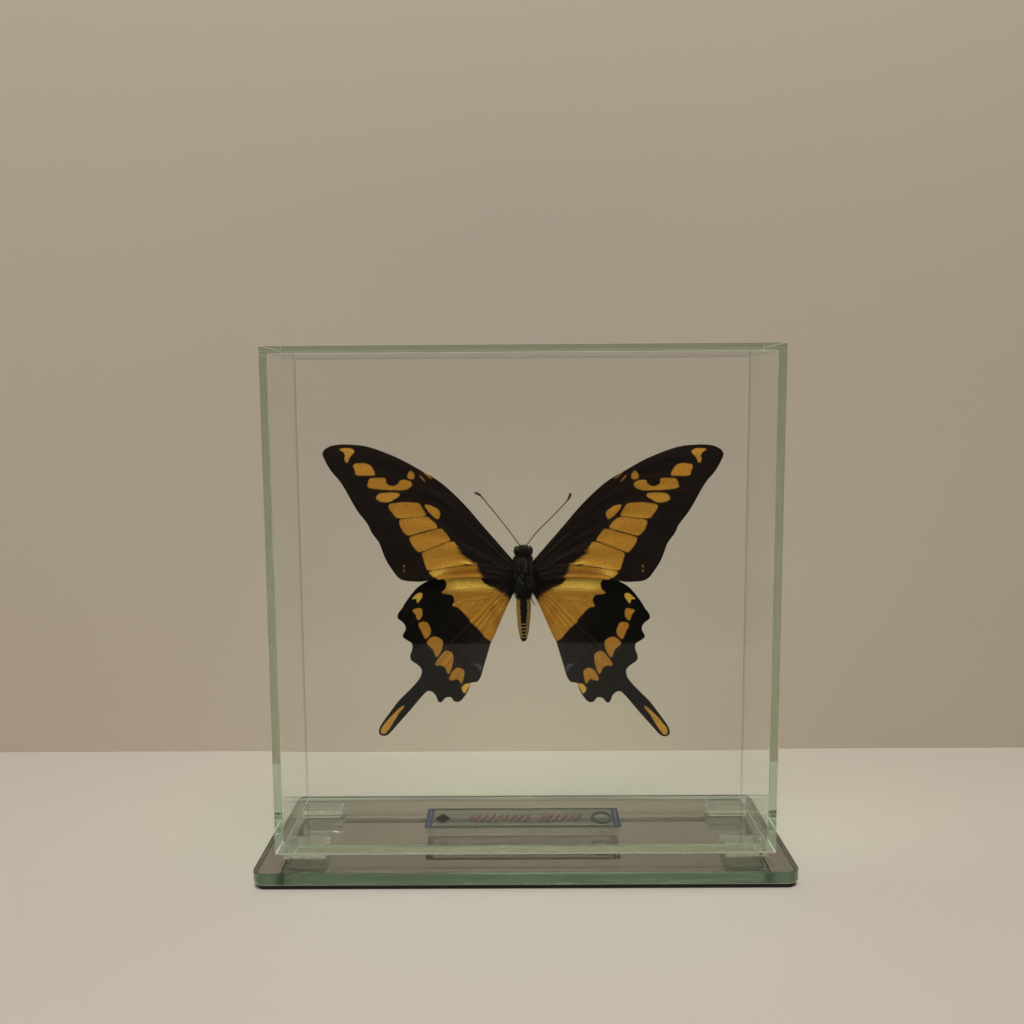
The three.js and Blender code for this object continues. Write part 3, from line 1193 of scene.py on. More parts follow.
@dataclass
class DisplayCase:
    """The panes, blocks and base: CAD meshes with their finishes, and the panes as one bonded shell."""

    panes: tuple[str, ...] = ("pane_floor", "pane_top", "pane_front", "pane_back", "pane_left", "pane_right")
    blocks: tuple[str, ...] = (
        "spacer_front_left", "spacer_front_right", "spacer_back_left", "spacer_back_right",
    )
    glazing: tuple[Glazing, ...] = (Glazing.CASE, Glazing.EDGE, Glazing.RIM)
    arris: float = 0.45
    arris_segments: int = 2
    fine_arris: float = 0.2
    bead: float = 0.1
    fit: float = 0.01

    def bonded_panes(self) -> Piece:
        """The six panes as they look once bonded: no air is left between them.

        The glass lies between an outer and an inner box whose sides are the panes' faces. All edges are
        ground off outside and filled with a fine bead of glue inside, and the walls' undersides are left
        as sawn.

        Returns:
            The bonded panes, standing for the six CAD panes.
        """
        top_low, top_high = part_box("pane_top")
        floor_low, floor_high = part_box("pane_floor")
        outer = np.array([[top_low.x, top_low.y, floor_low.z], list(top_high)]) / MM
        inner = np.array([
            [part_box("pane_left")[1].x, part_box("pane_front")[1].y, floor_high.z],
            [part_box("pane_right")[0].x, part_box("pane_back")[0].y, top_low.z],
        ]) / MM
        cavity = box_form(*inner)
        cavity.quads = cavity.quads[:, ::-1]
        shell = self.rimmed(box_form(*outer), inner)
        glass, ground, rim = (CLEAR_FINISHES[kind].build() for kind in self.glazing)
        piece = make_piece("bonded_panes", joined([shell, cavity]), glass, smooth=False)
        piece.data.materials.append(ground)
        piece.data.materials.append(rim)
        slots = np.zeros(len(piece.data.polygons), np.int32)
        slots[len(shell.quads) - 4:len(shell.quads)] = self.glazing.index(Glazing.RIM)
        piece.data.polygons.foreach_set("material_index", slots)
        self.weigh_edges(piece.data, outer, inner)
        edge = piece.modifiers.new("ground_edge", "BEVEL")
        edge.material = self.glazing.index(Glazing.EDGE)
        edge.width = self.arris * MM
        edge.segments = self.arris_segments
        edge.limit_method = "WEIGHT"
        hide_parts(*self.panes)
        return piece

    def rimmed(self, box: Form, inner: np.ndarray) -> Form:
        """The outer box with its underside cut into a middle and a rim under the walls.

        Args:
            box: the outer box.
            inner: the two opposite corners of the space inside.

        Returns:
            The box, its last four faces being the rim.
        """
        low = box.vertices[:, 2].min()
        under = np.all(box.vertices[box.quads][:, :, 2] == low, axis=1)
        loop = box.quads[under][0]
        corners = box.vertices[loop]
        middle = np.where(corners[:, :2] < corners[:, :2].mean(0), inner[0, :2], inner[1, :2])
        vertices = np.vstack([box.vertices, np.column_stack([middle, np.full(4, low)])])
        new = len(box.vertices) + np.arange(4)
        rim = np.stack([loop, np.roll(loop, -1), np.roll(new, -1), new], 1)
        return Form(vertices, np.vstack([box.quads[~under], new[None, :], rim]))

    def weigh_edges(self, mesh: bpy.types.Mesh, outer: np.ndarray, inner: np.ndarray) -> None:
        """Gives the lower front edge the full bevel, others and glue lines a share of it, flat seams none.

        Args:
            mesh: the bonded panes.
            outer: the outer box's two corners.
            inner: the inner box's two corners.
        """
        ends = np.empty(2 * len(mesh.edges), np.int32)
        mesh.edges.foreach_get("vertices", ends)
        places = np.empty(3 * len(mesh.vertices), np.float32)
        mesh.vertices.foreach_get("co", places)
        both = places.reshape(-1, 3)[ends.reshape(-1, 2)] / MM
        on_outer, on_inner = (
            np.isclose(both[..., None, :], box, atol=self.fit).any(2).all((1, 2)) for box in (outer, inner)
        )
        lip = np.isclose(both[..., 1:], outer[0, 1:], atol=self.fit).all((1, 2))
        share = np.select([lip, on_outer, on_inner], [1.0, self.fine_arris, self.bead], 0.0)
        weight = mesh.attributes.new("bevel_weight_edge", "FLOAT", "EDGE")
        weight.data.foreach_set("value", share.astype(np.float32))

    def dress(self, nodes: dict[str, Piece]) -> None:
        """Makes the bonded panes and gives each other CAD node of the case its finish.

        Args:
            nodes: the frame's nodes by name.
        """
        self.bonded_panes()
        acrylic = CLEAR_FINISHES[Glazing.BLOCK].build()
        low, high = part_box("label_film")
        finishes = {name: acrylic for name in (*self.blocks, "support_peg")} | {
            "base_plate": CLEAR_FINISHES[Glazing.BASE].build(),
            "mirror_silvering": SilverFinish().build(),
            "backing_pad": FeltAndShadeFinish().build(),
            "label_film": FilmFinish(((low.x + high.x) / 2, (low.y + high.y) / 2)).build(),
        }
        for name, finish in finishes.items():
            materials = nodes[name].data.materials
            materials.clear()
            materials.append(finish)
            log.info("%s: finish %s", name, finish.name)


# ---- wings ----


def side_name(side: int) -> str:
    """The name of a side, -1 or 1, as someone looking at the front sees it."""
    return "left" if side < 0 else "right"


@dataclass(frozen=True)
class Patch:
    """One light patch: its outline in wing millimetres, and its tone from -1 dull orange to 2 cream."""

    outline: tuple[Point, ...]
    tone: float = 0.0


@dataclass(frozen=True)
class ToneAndLight:
    """A soft change of tone, the wing's own colour in some places and painted light in others: where it is,
    its two half sizes, its turn in degrees and how much it adds.
    """

    middle: Point
    half: Point
    turn: float
    amount: float


@dataclass(frozen=True)
class WingPlan:
    """One wing laid flat, in millimetres out from the body's middle and up from the case's bottom.

    lead, margin, inner and root are its four edges. layer is how far back it lies, and tail holds the first
    and last of the margin's points that are the tail's own.
    """

    name: str
    lead: tuple[Point, ...]
    margin: tuple[Point, ...]
    inner: tuple[Point, ...]
    root: tuple[Point, ...]
    patches: tuple[Patch, ...]
    veins: tuple[tuple[Point, ...], ...]
    tones_and_lights: tuple[ToneAndLight, ...]
    layer: float
    warmth: float
    root_warmth_and_painted_light: float
    frayed: tuple[Point, ...] = ()
    tail: tuple[int, int] | None = None
    eyespot: Point | None = None


FOREWING = WingPlan(
    name="forewing",
    lead=((2.6, 85.7), (3.7, 86.8), (12.1, 96.6), (18.6, 104.2), (25.1, 110.3), (31.2, 114.1),
          (38.1, 117.9), (46.7, 121.2), (53.2, 122.0), (57.6, 121.7), (60.0, 120.6)),
    margin=((60.0, 120.6), (60.7, 118.8), (58.6, 114.4), (55.9, 111.0), (54.0, 107.9), (51.9, 103.9),
            (50.3, 101.2), (47.7, 97.7), (46.4, 94.9), (44.3, 91.9), (43.0, 88.3), (42.1, 86.2),
            (41.0, 84.3), (38.8, 81.2), (36.9, 80.1), (34.4, 79.8), (31.5, 79.7), (28.7, 80.2)),
    inner=((2.8, 78.9), (13.2, 80.6), (21.0, 80.6), (28.7, 80.2)),
    root=((2.8, 78.9), (2.6, 82.4), (2.6, 85.7)),
    layer=-0.7,
    warmth=1.0,
    root_warmth_and_painted_light=1.1,
    patches=(
        Patch(((55.8, 120.5), (54.1, 120.9), (52.3, 120.8), (51.2, 120.1), (51.5, 119.2), (52.7, 117.9),
               (53.3, 116.5), (54.1, 117.1), (54.0, 118.8), (54.7, 119.9)), 0.2),
        Patch(((51.5, 115.8), (49.5, 116.3), (47.7, 116.2), (46.2, 115.3), (45.1, 113.1), (45.8, 112.6),
               (50.4, 112.6), (51.1, 114.0))),
        Patch(((47.4, 109.8), (46.7, 111.5), (45.2, 111.8), (42.1, 111.7), (41.8, 110.3), (40.7, 109.5),
               (39.1, 109.4), (37.8, 110.4), (37.6, 111.0), (36.0, 111.2), (34.3, 110.6), (33.9, 109.7),
               (35.0, 108.5), (37.4, 108.0), (42.6, 108.2), (45.7, 108.5), (47.2, 108.9))),
        Patch(((44.9, 105.8), (44.0, 106.9), (42.2, 107.3), (38.3, 107.2), (37.8, 106.4), (38.8, 105.6),
               (41.0, 104.4), (42.7, 104.4), (44.3, 104.9)), 0.15),
        Patch(((35.3, 112.1), (34.7, 113.7), (33.8, 113.8), (33.1, 112.6), (33.4, 111.5), (34.7, 111.5))),
        Patch(((31.6, 112.3), (31.2, 112.5), (29.9, 110.8), (30.1, 110.6)), -0.2),
        Patch(((30.3, 113.3), (30.1, 113.5), (28.1, 111.8), (28.3, 111.6)), -0.2),
        Patch(((30.1, 103.4), (28.3, 103.3), (25.9, 101.8), (25.5, 100.4), (26.2, 99.1), (27.5, 99.8),
               (29.0, 101.4))),
        Patch(((41.2, 102.9), (40.3, 103.9), (36.6, 104.3), (32.2, 104.0), (30.9, 102.5), (29.9, 100.6),
               (30.6, 100.1), (34.5, 99.6), (38.5, 99.5), (39.8, 100.7))),
        Patch(((38.0, 98.3), (37.1, 99.1), (34.1, 99.4), (29.7, 99.8), (27.5, 98.2), (26.5, 96.9),
               (27.1, 96.2), (30.6, 95.3), (34.6, 94.2), (35.9, 94.4), (37.2, 95.9))),
        Patch(((35.0, 93.0), (34.2, 93.8), (30.6, 94.8), (25.8, 96.1), (24.3, 95.3), (22.7, 93.0),
               (23.0, 92.3), (26.7, 90.8), (31.6, 89.0), (32.9, 89.5), (34.1, 91.0))),
        Patch(((31.2, 88.4), (30.3, 89.1), (26.3, 90.6), (22.1, 92.1), (20.6, 91.0), (19.3, 88.1),
               (15.8, 85.4), (15.2, 85.0), (22.9, 84.2), (29.1, 83.3), (30.2, 84.7), (30.9, 87.0))),
        Patch(((28.9, 82.9), (22.9, 83.9), (15.3, 84.8), (14.2, 83.2), (12.8, 80.8), (11.8, 78.4),
               (21.1, 78.6), (26.6, 79.4), (26.6, 80.6), (28.1, 81.4))),
        Patch(((36.9, 84.9), (36.65, 84.9), (36.65, 84.3), (36.9, 84.3)), 0.2),
        Patch(((37.0, 83.5), (36.75, 83.5), (36.75, 82.9), (37.0, 82.9)), 0.2),
    ),
    veins=(
        ((4.0, 83.2), (15.2, 84.9), (28.9, 83.1), (36.2, 80.4)),
        ((3.8, 83.6), (18.8, 91.9), (23.2, 94.9), (27.0, 98.3), (31.2, 102.9), (32.4, 106.5),
         (31.3, 109.3)),
        ((6.5, 84.0), (14.0, 88.4), (22.6, 92.3), (32.2, 88.7), (41.6, 85.4)),
        ((22.5, 94.6), (26.2, 96.3), (35.2, 93.8), (44.7, 92.6)),
        ((26.8, 98.1), (30.0, 99.9), (38.4, 99.2), (48.6, 98.9)),
        ((30.8, 102.8), (32.6, 104.6), (36.5, 104.85), (40.7, 104.15), (44.5, 103.5), (51.4, 103.2)),
        ((32.4, 106.5), (43.0, 107.7), (53.6, 107.3)),
        ((32.6, 110.8), (34.6, 111.1), (37.0, 112.0), (42.0, 112.4), (48.0, 111.9), (55.9, 111.0)),
        ((32.2, 110.6), (32.5, 113.0), (36.0, 115.4), (44.0, 117.7), (52.0, 118.7), (58.8, 118.2)),
        ((3.8, 84.8), (17.0, 97.8), (25.0, 105.6), (31.3, 109.3)),
        ((4.0, 86.2), (19.0, 103.2), (31.0, 112.3), (42.0, 118.3)),
        ((4.2, 81.4), (12.0, 82.8), (22.0, 82.4), (28.4, 80.8)),
    ),
    tones_and_lights=(
        # raised tone here is partly the patches' own paler yellow and partly a painted highlight where folds
        # catch the light; lowered tone is the wing's own duller brown
        ToneAndLight((22.8, 84.9), (7.5, 1.2), -10.0, 0.2),
        ToneAndLight((16.2, 85.5), (3.2, 0.6), 4.0, 0.45),
        ToneAndLight((25.9, 82.4), (3.8, 1.3), -10.0, 0.85),
        ToneAndLight((18.4, 82.4), (6.4, 1.2), -3.0, -1.3),
        ToneAndLight((23.6, 80.5), (3.0, 0.6), 0.0, -0.5),
    ),
    frayed=((20.0, 89.0), (15.0, 84.0), (12.3, 79.7)),
)

HINDWING = WingPlan(
    name="hindwing",
    lead=((2.8, 82.6), (16.0, 83.4), (24.0, 82.2), (28.1, 80.2)),
    margin=((28.1, 80.2), (29.9, 79.6), (32.8, 77.8), (35.3, 74.9), (37.0, 72.5), (37.7, 71.2),
            (38.9, 69.7), (39.1, 68.1), (37.4, 66.6), (36.7, 64.7), (37.7, 62.4), (36.2, 61.0),
            (35.0, 60.2), (34.7, 58.6), (35.5, 56.1), (35.1, 54.6), (33.2, 53.2), (32.0, 51.7),
            (32.2, 49.8), (33.3, 48.0), (35.9, 45.1), (39.2, 41.9), (42.1, 38.1), (44.7, 34.5),
            (45.6, 32.6), (45.5, 31.1), (44.2, 30.5), (42.6, 31.1), (40.0, 34.0), (37.1, 38.1),
            (34.1, 41.7), (32.3, 43.7), (30.1, 44.8), (28.7, 44.4), (27.6, 43.1), (27.1, 41.6),
            (26.2, 41.0), (25.3, 41.8), (24.8, 42.5), (23.0, 42.7), (22.1, 41.5), (20.8, 41.1),
            (19.4, 41.9), (18.7, 43.4), (19.0, 44.9), (17.9, 46.7), (17.1, 47.2), (14.6, 47.5)),
    inner=((2.7, 76.4), (3.7, 74.4), (5.4, 70.8), (7.6, 65.7), (9.4, 61.6), (10.2, 60.2), (11.3, 56.5),
           (12.4, 52.9), (13.5, 49.2), (14.6, 47.5)),
    root=((2.7, 76.4), (2.6, 79.5), (2.8, 82.6)),
    layer=0.3,
    warmth=0.12,
    # root warmth past 1 paints light onto this root, which lies in the forewing's shadow
    root_warmth_and_painted_light=1.9,
    tail=(19, 33),
    eyespot=(14.9, 51.7),
    patches=(
        Patch(((34.6, 74.2), (32.8, 75.9), (31.6, 75.9), (31.4, 74.8), (32.9, 72.9), (33.4, 74.1)), 0.5),
        Patch(((34.5, 70.5), (33.4, 71.1), (31.8, 71.1), (31.5, 68.9), (32.8, 67.4), (33.6, 69.2)), -0.1),
        Patch(((32.8, 66.0), (31.2, 66.9), (29.8, 66.4), (28.9, 63.9), (29.7, 62.1), (30.8, 61.5),
               (31.6, 63.4)), -0.3),
        Patch(((30.3, 60.1), (28.8, 61.9), (27.0, 62.0), (25.2, 60.4), (26.0, 57.1), (27.3, 55.6),
               (28.5, 58.2)), -0.3),
        Patch(((27.7, 53.2), (26.0, 56.0), (24.2, 57.6), (22.1, 56.3), (22.5, 52.6), (23.7, 50.3),
               (25.0, 52.6)), -0.3),
        Patch(((23.4, 48.2), (22.5, 50.8), (20.7, 52.1), (18.8, 51.2), (18.9, 48.9), (19.7, 47.0),
               (20.7, 48.4)), -0.2),
        Patch(((19.6, 45.4), (18.6, 46.8), (16.6, 47.0), (17.6, 45.6), (18.6, 43.9)), 0.45),
        Patch(((45.1, 32.0), (44.3, 30.9), (42.5, 32.6), (39.6, 37.4), (37.6, 39.9), (38.6, 39.8),
               (42.0, 36.6), (44.5, 33.5)), 0.3),
        Patch(((25.4, 82.6), (24.6, 80.4), (23.9, 79.0), (24.3, 77.2), (25.4, 75.9), (22.2, 75.2),
               (21.5, 73.4), (22.1, 71.8), (20.1, 71.0), (16.9, 67.5), (16.6, 66.7), (14.1, 64.3),
               (12.0, 61.7), (11.4, 61.2), (8.9, 60.5), (7.0, 65.7), (4.8, 70.8), (4.6, 74.1),
               (7.9, 76.5), (11.4, 78.3), (13.4, 80.4), (14.6, 83.2))),
    ),
    veins=(
        ((4.8, 76.2), (16.0, 79.8), (28.0, 79.4)),
        ((4.9, 75.6), (14.0, 77.3), (25.3, 76.0), (32.9, 72.3), (38.6, 69.2)),
        ((5.2, 75.0), (14.0, 73.6), (18.0, 73.2), (24.5, 70.3), (31.9, 67.2), (37.5, 62.5)),
        ((14.0, 73.6), (18.6, 68.8), (29.0, 62.3), (35.3, 55.4)),
        ((18.6, 68.8), (16.2, 66.2), (12.4, 64.4), (8.4, 67.6), (4.9, 74.0)),
        ((16.2, 66.2), (21.0, 61.6), (25.6, 57.5), (27.6, 54.6), (33.0, 46.6), (38.0, 40.0), (45.0, 31.5)),
        ((12.4, 64.4), (18.5, 57.0), (22.3, 52.2), (24.0, 48.5), (26.3, 41.4)),
        ((8.4, 67.6), (12.0, 61.0), (17.6, 51.6), (19.3, 46.4), (20.8, 41.6)),
        ((4.4, 73.6), (8.4, 65.0), (11.2, 58.4)),
        ((9.0, 76.0), (14.5, 75.4), (19.6, 74.6)),
        ((6.0, 73.8), (12.0, 69.6), (15.0, 66.8)),
    ),
    tones_and_lights=(
        # painted light: this strip is raised towards bright yellow to make up for the forewing's shadow on
        # it, over its own paler tone
        ToneAndLight((16.6, 78.7), (10.0, 2.1), 4.0, 1.05),
        ToneAndLight((8.2, 67.5), (1.8, 6.5), -24.0, -0.7),
        ToneAndLight((18.0, 75.6), (6.0, 0.5), -4.0, -0.3),
        ToneAndLight((20.2, 77.2), (3.0, 1.0), 0.0, 0.25),
    ),
    frayed=((5.0, 76.0), (8.0, 77.0), (10.0, 81.0)),
)


@dataclass
class Wing:
    """Builds a wing as a thin closed shell, hinged about the body and bent by its veins."""

    plan: WingPlan
    places: Places
    thickness: float = 0.14
    rows: int = 150
    columns: int = 210
    dihedral: float = DIHEDRAL
    level_turn: float = 0.0063
    vein_height: float = 0.05
    vein_width: float = 0.45
    pleat: float = 0.07
    pleats: float = 6.5
    pleat_lean: float = 0.6
    pleat_fall: float = 0.7
    sag: float = 0.18
    tail_power: float = 6.0
    patch_fineness: int = 5
    vein_fineness: int = 6
    fray_width: float = 2.2
    fray_reach: float = 4.0
    ridge_width: float = 32.0
    root_width: float = 17.0
    arc_radius: float = 1.3
    arc_width: float = 0.42
    arc_way: Point = (-0.72, 0.69)
    arc_gain: float = 1.6
    arc_start: float = -0.1

    def patch_grid(self) -> tuple[np.ndarray, np.ndarray]:
        """The flat wing on a grid of two parameters.

        s runs from the root to the outer margin and t from the inner edge to the leading edge. Point(s, t)
        is the Coons surface of the four edges: the sum of the two ruled surfaces between opposite edges,
        less the surface ruled between the corners. A tail is added as s to a high power times the margin's
        own way out from its chord, so that it grows only near the margin.

        Returns:
            The points, as (rows * columns, 2), and the (s, t) of each.
        """
        plan = self.plan
        lead = spread(smooth_curve(np.array(plan.lead)), self.rows)
        inner = spread(smooth_curve(np.array(plan.inner)), self.rows)
        root = spread(smooth_curve(np.array(plan.root)), self.columns)
        samples = spread(smooth_curve(np.array(plan.margin)), self.columns)
        soft = samples.copy() if plan.tail is None else self.without_tail(samples)
        samples, soft = samples[::-1], soft[::-1]
        s = np.linspace(0.0, 1.0, self.rows)[:, None, None]
        t = np.linspace(0.0, 1.0, self.columns)[None, :, None]
        across = (1 - t) * inner[:, None, :] + t * lead[:, None, :]
        along = (1 - s) * root[None, :, :] + s * soft[None, :, :]
        corners = (1 - s) * ((1 - t) * root[0] + t * root[-1]) + s * ((1 - t) * soft[0] + t * soft[-1])
        flat = across + along - corners
        flat = flat + s**self.tail_power * (samples - soft)[None, :, :]
        st = np.stack(np.broadcast_arrays(s[..., 0], t[..., 0]), -1).reshape(-1, 2)
        return flat.reshape(-1, 2), st

    def without_tail(self, samples: np.ndarray) -> np.ndarray:
        """The margin with its tail replaced by the straight chord between the tail's two ends.

        Args:
            samples: the whole margin, evenly spaced.

        Returns:
            The margin's samples without the tail.
        """
        margin = np.array(self.plan.margin)
        first, last = self.plan.tail
        curve = smooth_curve(margin)
        steps = np.concatenate([[0.0], np.cumsum(np.linalg.norm(np.diff(curve, axis=0), axis=1))])
        start, end = steps[np.array([first - 1, last + 1]) * FINENESS] / steps[-1]
        share = np.linspace(0.0, 1.0, self.columns)
        within = (share > start) & (share < end)
        way = (share - start) / (end - start)
        chord = margin[first - 1] + way[:, None] * (margin[last + 1] - margin[first - 1])
        return np.where(within[:, None], chord, samples)

    def carried_values(self, flat: np.ndarray) -> dict[str, np.ndarray]:
        """The numbers that the finish reads.

        patch is the distance to the nearest patch outline, above nought inside; tone is the nearest patch's
        tone plus the soft tone changes, some of which are painted highlights; vein is the distance to the
        nearest vein; fray is 1 near the furry root; ridge falls off away from the body; blue is the arc over
        the eyespot; and warmth is how brown the black ground is, which past 1 at the hindwing's root paints
        light into the forewing's shadow.

        Args:
            flat: the wing's flat points.

        Returns:
            One array for each name.
        """
        plan = self.plan
        level = np.full(len(flat), -np.inf)
        tone = np.zeros(len(flat))
        for patch in plan.patches:
            loop = smooth_curve(np.array(patch.outline), closed=True, fineness=self.patch_fineness)
            gap = distance_to_line(flat, np.vstack([loop, loop[:1]]))
            signed = np.where(inside_loop(flat, loop), gap, -gap)
            tone = np.where(signed > level, patch.tone, tone)
            level = np.maximum(level, signed)
        # soft tone changes: the wing's own colour, plus painted highlights and painted light over shade
        for tone_and_light in plan.tones_and_lights:
            turn = math.radians(tone_and_light.turn)
            x, z = (flat - np.array(tone_and_light.middle)).T
            along = x * math.cos(turn) + z * math.sin(turn)
            across = -x * math.sin(turn) + z * math.cos(turn)
            tone = tone + tone_and_light.amount * bell(along, 0.0, tone_and_light.half[0]) * bell(across, 0.0, tone_and_light.half[1])
        vein = np.full(len(flat), np.inf)
        for line in plan.veins:
            curve = smooth_curve(np.array(line), fineness=self.vein_fineness)
            vein = np.minimum(vein, distance_to_line(flat, curve))
        frayed = bell(distance_to_line(flat, np.array(plan.frayed)), 0.0, self.fray_width)
        at_root = np.exp(-((flat[:, 0] / self.root_width) ** 4))
        return {
            "patch": level,
            "tone": tone,
            "vein": vein,
            "fray": frayed * (np.abs(level) < self.fray_reach),
            "ridge": bell(flat[:, 0], 0.0, self.ridge_width),
            "blue": self.blue_arc(flat),
            "warmth": plan.warmth + (plan.root_warmth_and_painted_light - plan.warmth) * at_root,
        }

    def blue_arc(self, flat: np.ndarray) -> np.ndarray:
        """How blue each point is: a ring round the eyespot, times how far round it lies towards one side.

        Args:
            flat: the wing's flat points.

        Returns:
            One number for each point, 0 where the wing has no eyespot.
        """
        if self.plan.eyespot is None:
            return np.zeros(len(flat))
        offset = flat - np.array(self.plan.eyespot)
        away = np.linalg.norm(offset, axis=1)
        towards = (offset @ np.array(self.arc_way)) / np.maximum(away, TINY)
        lit = np.clip(self.arc_gain * towards + self.arc_start, 0.0, 1.0)
        return bell(away, self.arc_radius, self.arc_width) * lit

    def depth(self, st: np.ndarray, vein: np.ndarray) -> np.ndarray:
        """How far the membrane stands back from its plane.

        The veins stand forward as ridges that fall off with the square of the distance, and the membrane
        between them waves gently from root to margin.

        Args:
            st: the two parameters of each point.
            vein: the distance to the nearest vein.

        Returns:
            One depth in millimetres for each point, backwards above nought.
        """
        s, t = st[:, 0], st[:, 1]
        ridge = -self.vein_height * bell(vein, 0.0, self.vein_width)
        fall = np.sin(math.pi * s) ** self.pleat_fall
        wave = self.pleat * np.sin(FULL_TURN * (self.pleats * t + self.pleat_lean * s)) * fall
        sag = self.sag * np.sin(math.pi * s) * np.sin(math.pi * t)
        return ridge + wave + sag

    def build(self, side: int, material: Material) -> Piece:
        """Makes the wing on one side.

        The front sheet and the back sheet are half the thickness from the bent middle surface, and a rim
        of quads closes them.

        Args:
            side: -1 for the left of someone looking at the front, 1 for the right.
            material: the wing's finish.

        Returns:
            The wing, standing for its CAD node.
        """
        flat, st = self.patch_grid()
        values = self.carried_values(flat)
        depth = self.depth(st, values["vein"])
        turn = math.radians(self.dihedral)
        sheets = []
        for half in (-0.5, 0.5):
            y = self.plan.layer + depth + half * self.thickness
            x = side * (flat[:, 0] * math.cos(turn) + y * math.sin(turn))
            back = -flat[:, 0] * math.sin(turn) + y * math.cos(turn) + self.places.middle_y
            z = flat[:, 1] + self.places.case_bottom - self.level_turn * x
            sheets.append(np.stack([x, back, z], 1))
        count = len(flat)
        front = grid_quads(self.rows, self.columns)
        rear = grid_quads(self.rows, self.columns, first=count)[:, ::-1]
        index = np.arange(count).reshape(self.rows, self.columns)
        loop = np.concatenate([index[0, :-1], index[:-1, -1], index[-1, :0:-1], index[:0:-1, 0]])
        nxt = np.roll(loop, -1)
        rim = np.stack([nxt, loop, loop + count, nxt + count], 1)
        both = {key: np.concatenate([v, v]) for key, v in values.items()}
        both["underside"] = np.concatenate([np.zeros(count), np.ones(count)])
        form = Form(np.vstack(sheets), np.vstack([front, rear, rim]), values=both, uv=np.vstack([st, st]))
        name = f"{self.plan.name}_{side_name(side)}"
        piece = make_piece(f"{name}_membrane", form.turned_out(), material)
        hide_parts(name)
        return piece


# ---- body ----


@dataclass
class Insect:
    """Head, thorax, abdomen, down, antennae, legs and mouthparts.

    Places are x out from the body's middle line, y backwards from the case's middle and z up from the case's
    bottom. Heights in the profile and in the hairs' ranges are above the waist. A pair of radii or sizes is
    the first one and how much it loses on the way.
    """

    places: Places
    flatten: float = 0.9
    profile: tuple[Point, ...] = (
        (0.02, -14.2), (0.62, -13.9), (1.15, -12.9), (1.6, -11.2), (2.0, -8.6), (2.3, -5.2), (2.4, -2.0),
        (2.2, 0.2), (2.75, 2.2), (3.15, 5.2), (3.05, 8.4), (2.5, 11.0), (1.95, 12.3), (1.85, 13.1),
        (2.1, 14.2), (1.95, 15.3), (1.25, 16.1), (0.02, 16.45),
    )
    rings: int = 9
    belly_end: float = 13.6
    groove: float = 0.05
    skin_grid: tuple[int, int] = (170, 48)
    down_count: int = 5200
    down_range: Point = (2.2, 15.6)
    down_length: Point = (0.5, 1.3)
    neck: float = 12.2
    hair_radius: float = 0.05
    root_hair_count: int = 1500
    root_hair_range: Point = (77.2, 85.0)
    root_hair_start: float = 2.2
    root_hair_length: Point = (1.2, 3.0)
    dihedral: float = DIHEDRAL
    streak_count: int = 150
    streak_length: Point = (0.6, 1.9)
    streak_radius: float = 0.065
    dome_grid: tuple[int, int] = (20, 28)
    eye_half: Place = (1.1, 1.2, 1.6)
    eyes: tuple[Place, ...] = ((-1.95, -0.15, 89.0), (1.95, -0.15, 89.0))
    collar_half: Place = (0.85, 0.75, 1.15)
    collar: tuple[Place, ...] = ((-2.4, -0.2, 86.35), (2.15, -0.2, 86.5))
    antennae: dict[int, tuple[Point, ...]] = field(default_factory=lambda: {
        -1: ((-0.9, 90.4), (-4.3, 95.2), (-7.7, 99.6), (-10.5, 103.1), (-12.5, 105.6), (-13.5, 106.6),
             (-14.9, 107.2)),
        1: ((0.8, 90.4), (4.2, 94.8), (8.1, 98.7), (11.4, 102.1), (13.3, 104.1), (14.2, 105.4),
            (14.7, 106.9)),
    })
    thread_samples: int = 150
    thread_radius: float = 0.165
    joints: int = 34
    legs: tuple[tuple[Place, ...], ...] = (
        ((1.0, 2.2, 83.5), (3.0, 3.6, 85.0), (2.4, 4.0, 80.5), (1.6, 3.6, 77.0)),
        ((1.2, 2.4, 80.5), (3.6, 3.8, 80.0), (2.9, 4.1, 75.6), (2.0, 3.4, 72.6)),
        ((1.2, 1.6, 78.0), (2.2, 1.4, 76.0), (2.3, 0.6, 74.2), (3.5, 0.4, 71.7)),
    )
    legs_shown: dict[int, int] = field(default_factory=lambda: {-1: 2, 1: 3})
    leg_radii: Point = (0.26, 0.12)
    palp: tuple[Place, ...] = ((0.4, 1.3, 88.2), (0.55, 2.0, 88.9), (0.5, 2.2, 89.8))
    palp_radii: Point = (0.32, 0.16)
    tongue_middle: Point = (2.0, 89.3)
    tongue_size: Point = (0.95, 0.7)
    tongue_turn: float = 5.2 * math.pi
    tongue_radius: float = 0.11

    def world(self, x: np.ndarray, y: np.ndarray, z: np.ndarray) -> np.ndarray:
        """Points given from the body's middle line and the case's bottom, in the row frame."""
        return np.stack([x, y + self.places.middle_y, z + self.places.case_bottom], -1)

    def surface(self, along: np.ndarray, angle: np.ndarray, stand_off: float = 0.0) -> np.ndarray:
        """Points on the body's skin.

        Point(h, a) = (r(h) sin a, -flatten r(h) cos a, h), where r(h) is the profile, a is measured from the
        middle of the back, and the abdomen's r is drawn in a little at each ring.

        Args:
            along: heights above the waist.
            angle: angles from the middle of the back, which faces forwards.
            stand_off: how far outside the skin the points are.

        Returns:
            The points, in the row frame.
        """
        curve = smooth_curve(np.array(self.profile))
        radius = np.interp(along, curve[:, 1], curve[:, 0])
        belly = (along < 0.0) & (along > -self.belly_end)
        swell = np.abs(np.sin(math.pi * along * self.rings / self.belly_end)) ** 0.5
        radius = radius + np.where(belly, self.groove * (swell - 1.0) * radius, 0.0) + stand_off
        return self.world(
            radius * np.sin(angle), -self.flatten * radius * np.cos(angle), along + self.places.waist
        )

    def outward(self, along: np.ndarray, angle: np.ndarray) -> np.ndarray:
        """The way out from the skin at each place: from the skin to 1 mm outside it."""
        return self.surface(along, angle, 1.0) - self.surface(along, angle)

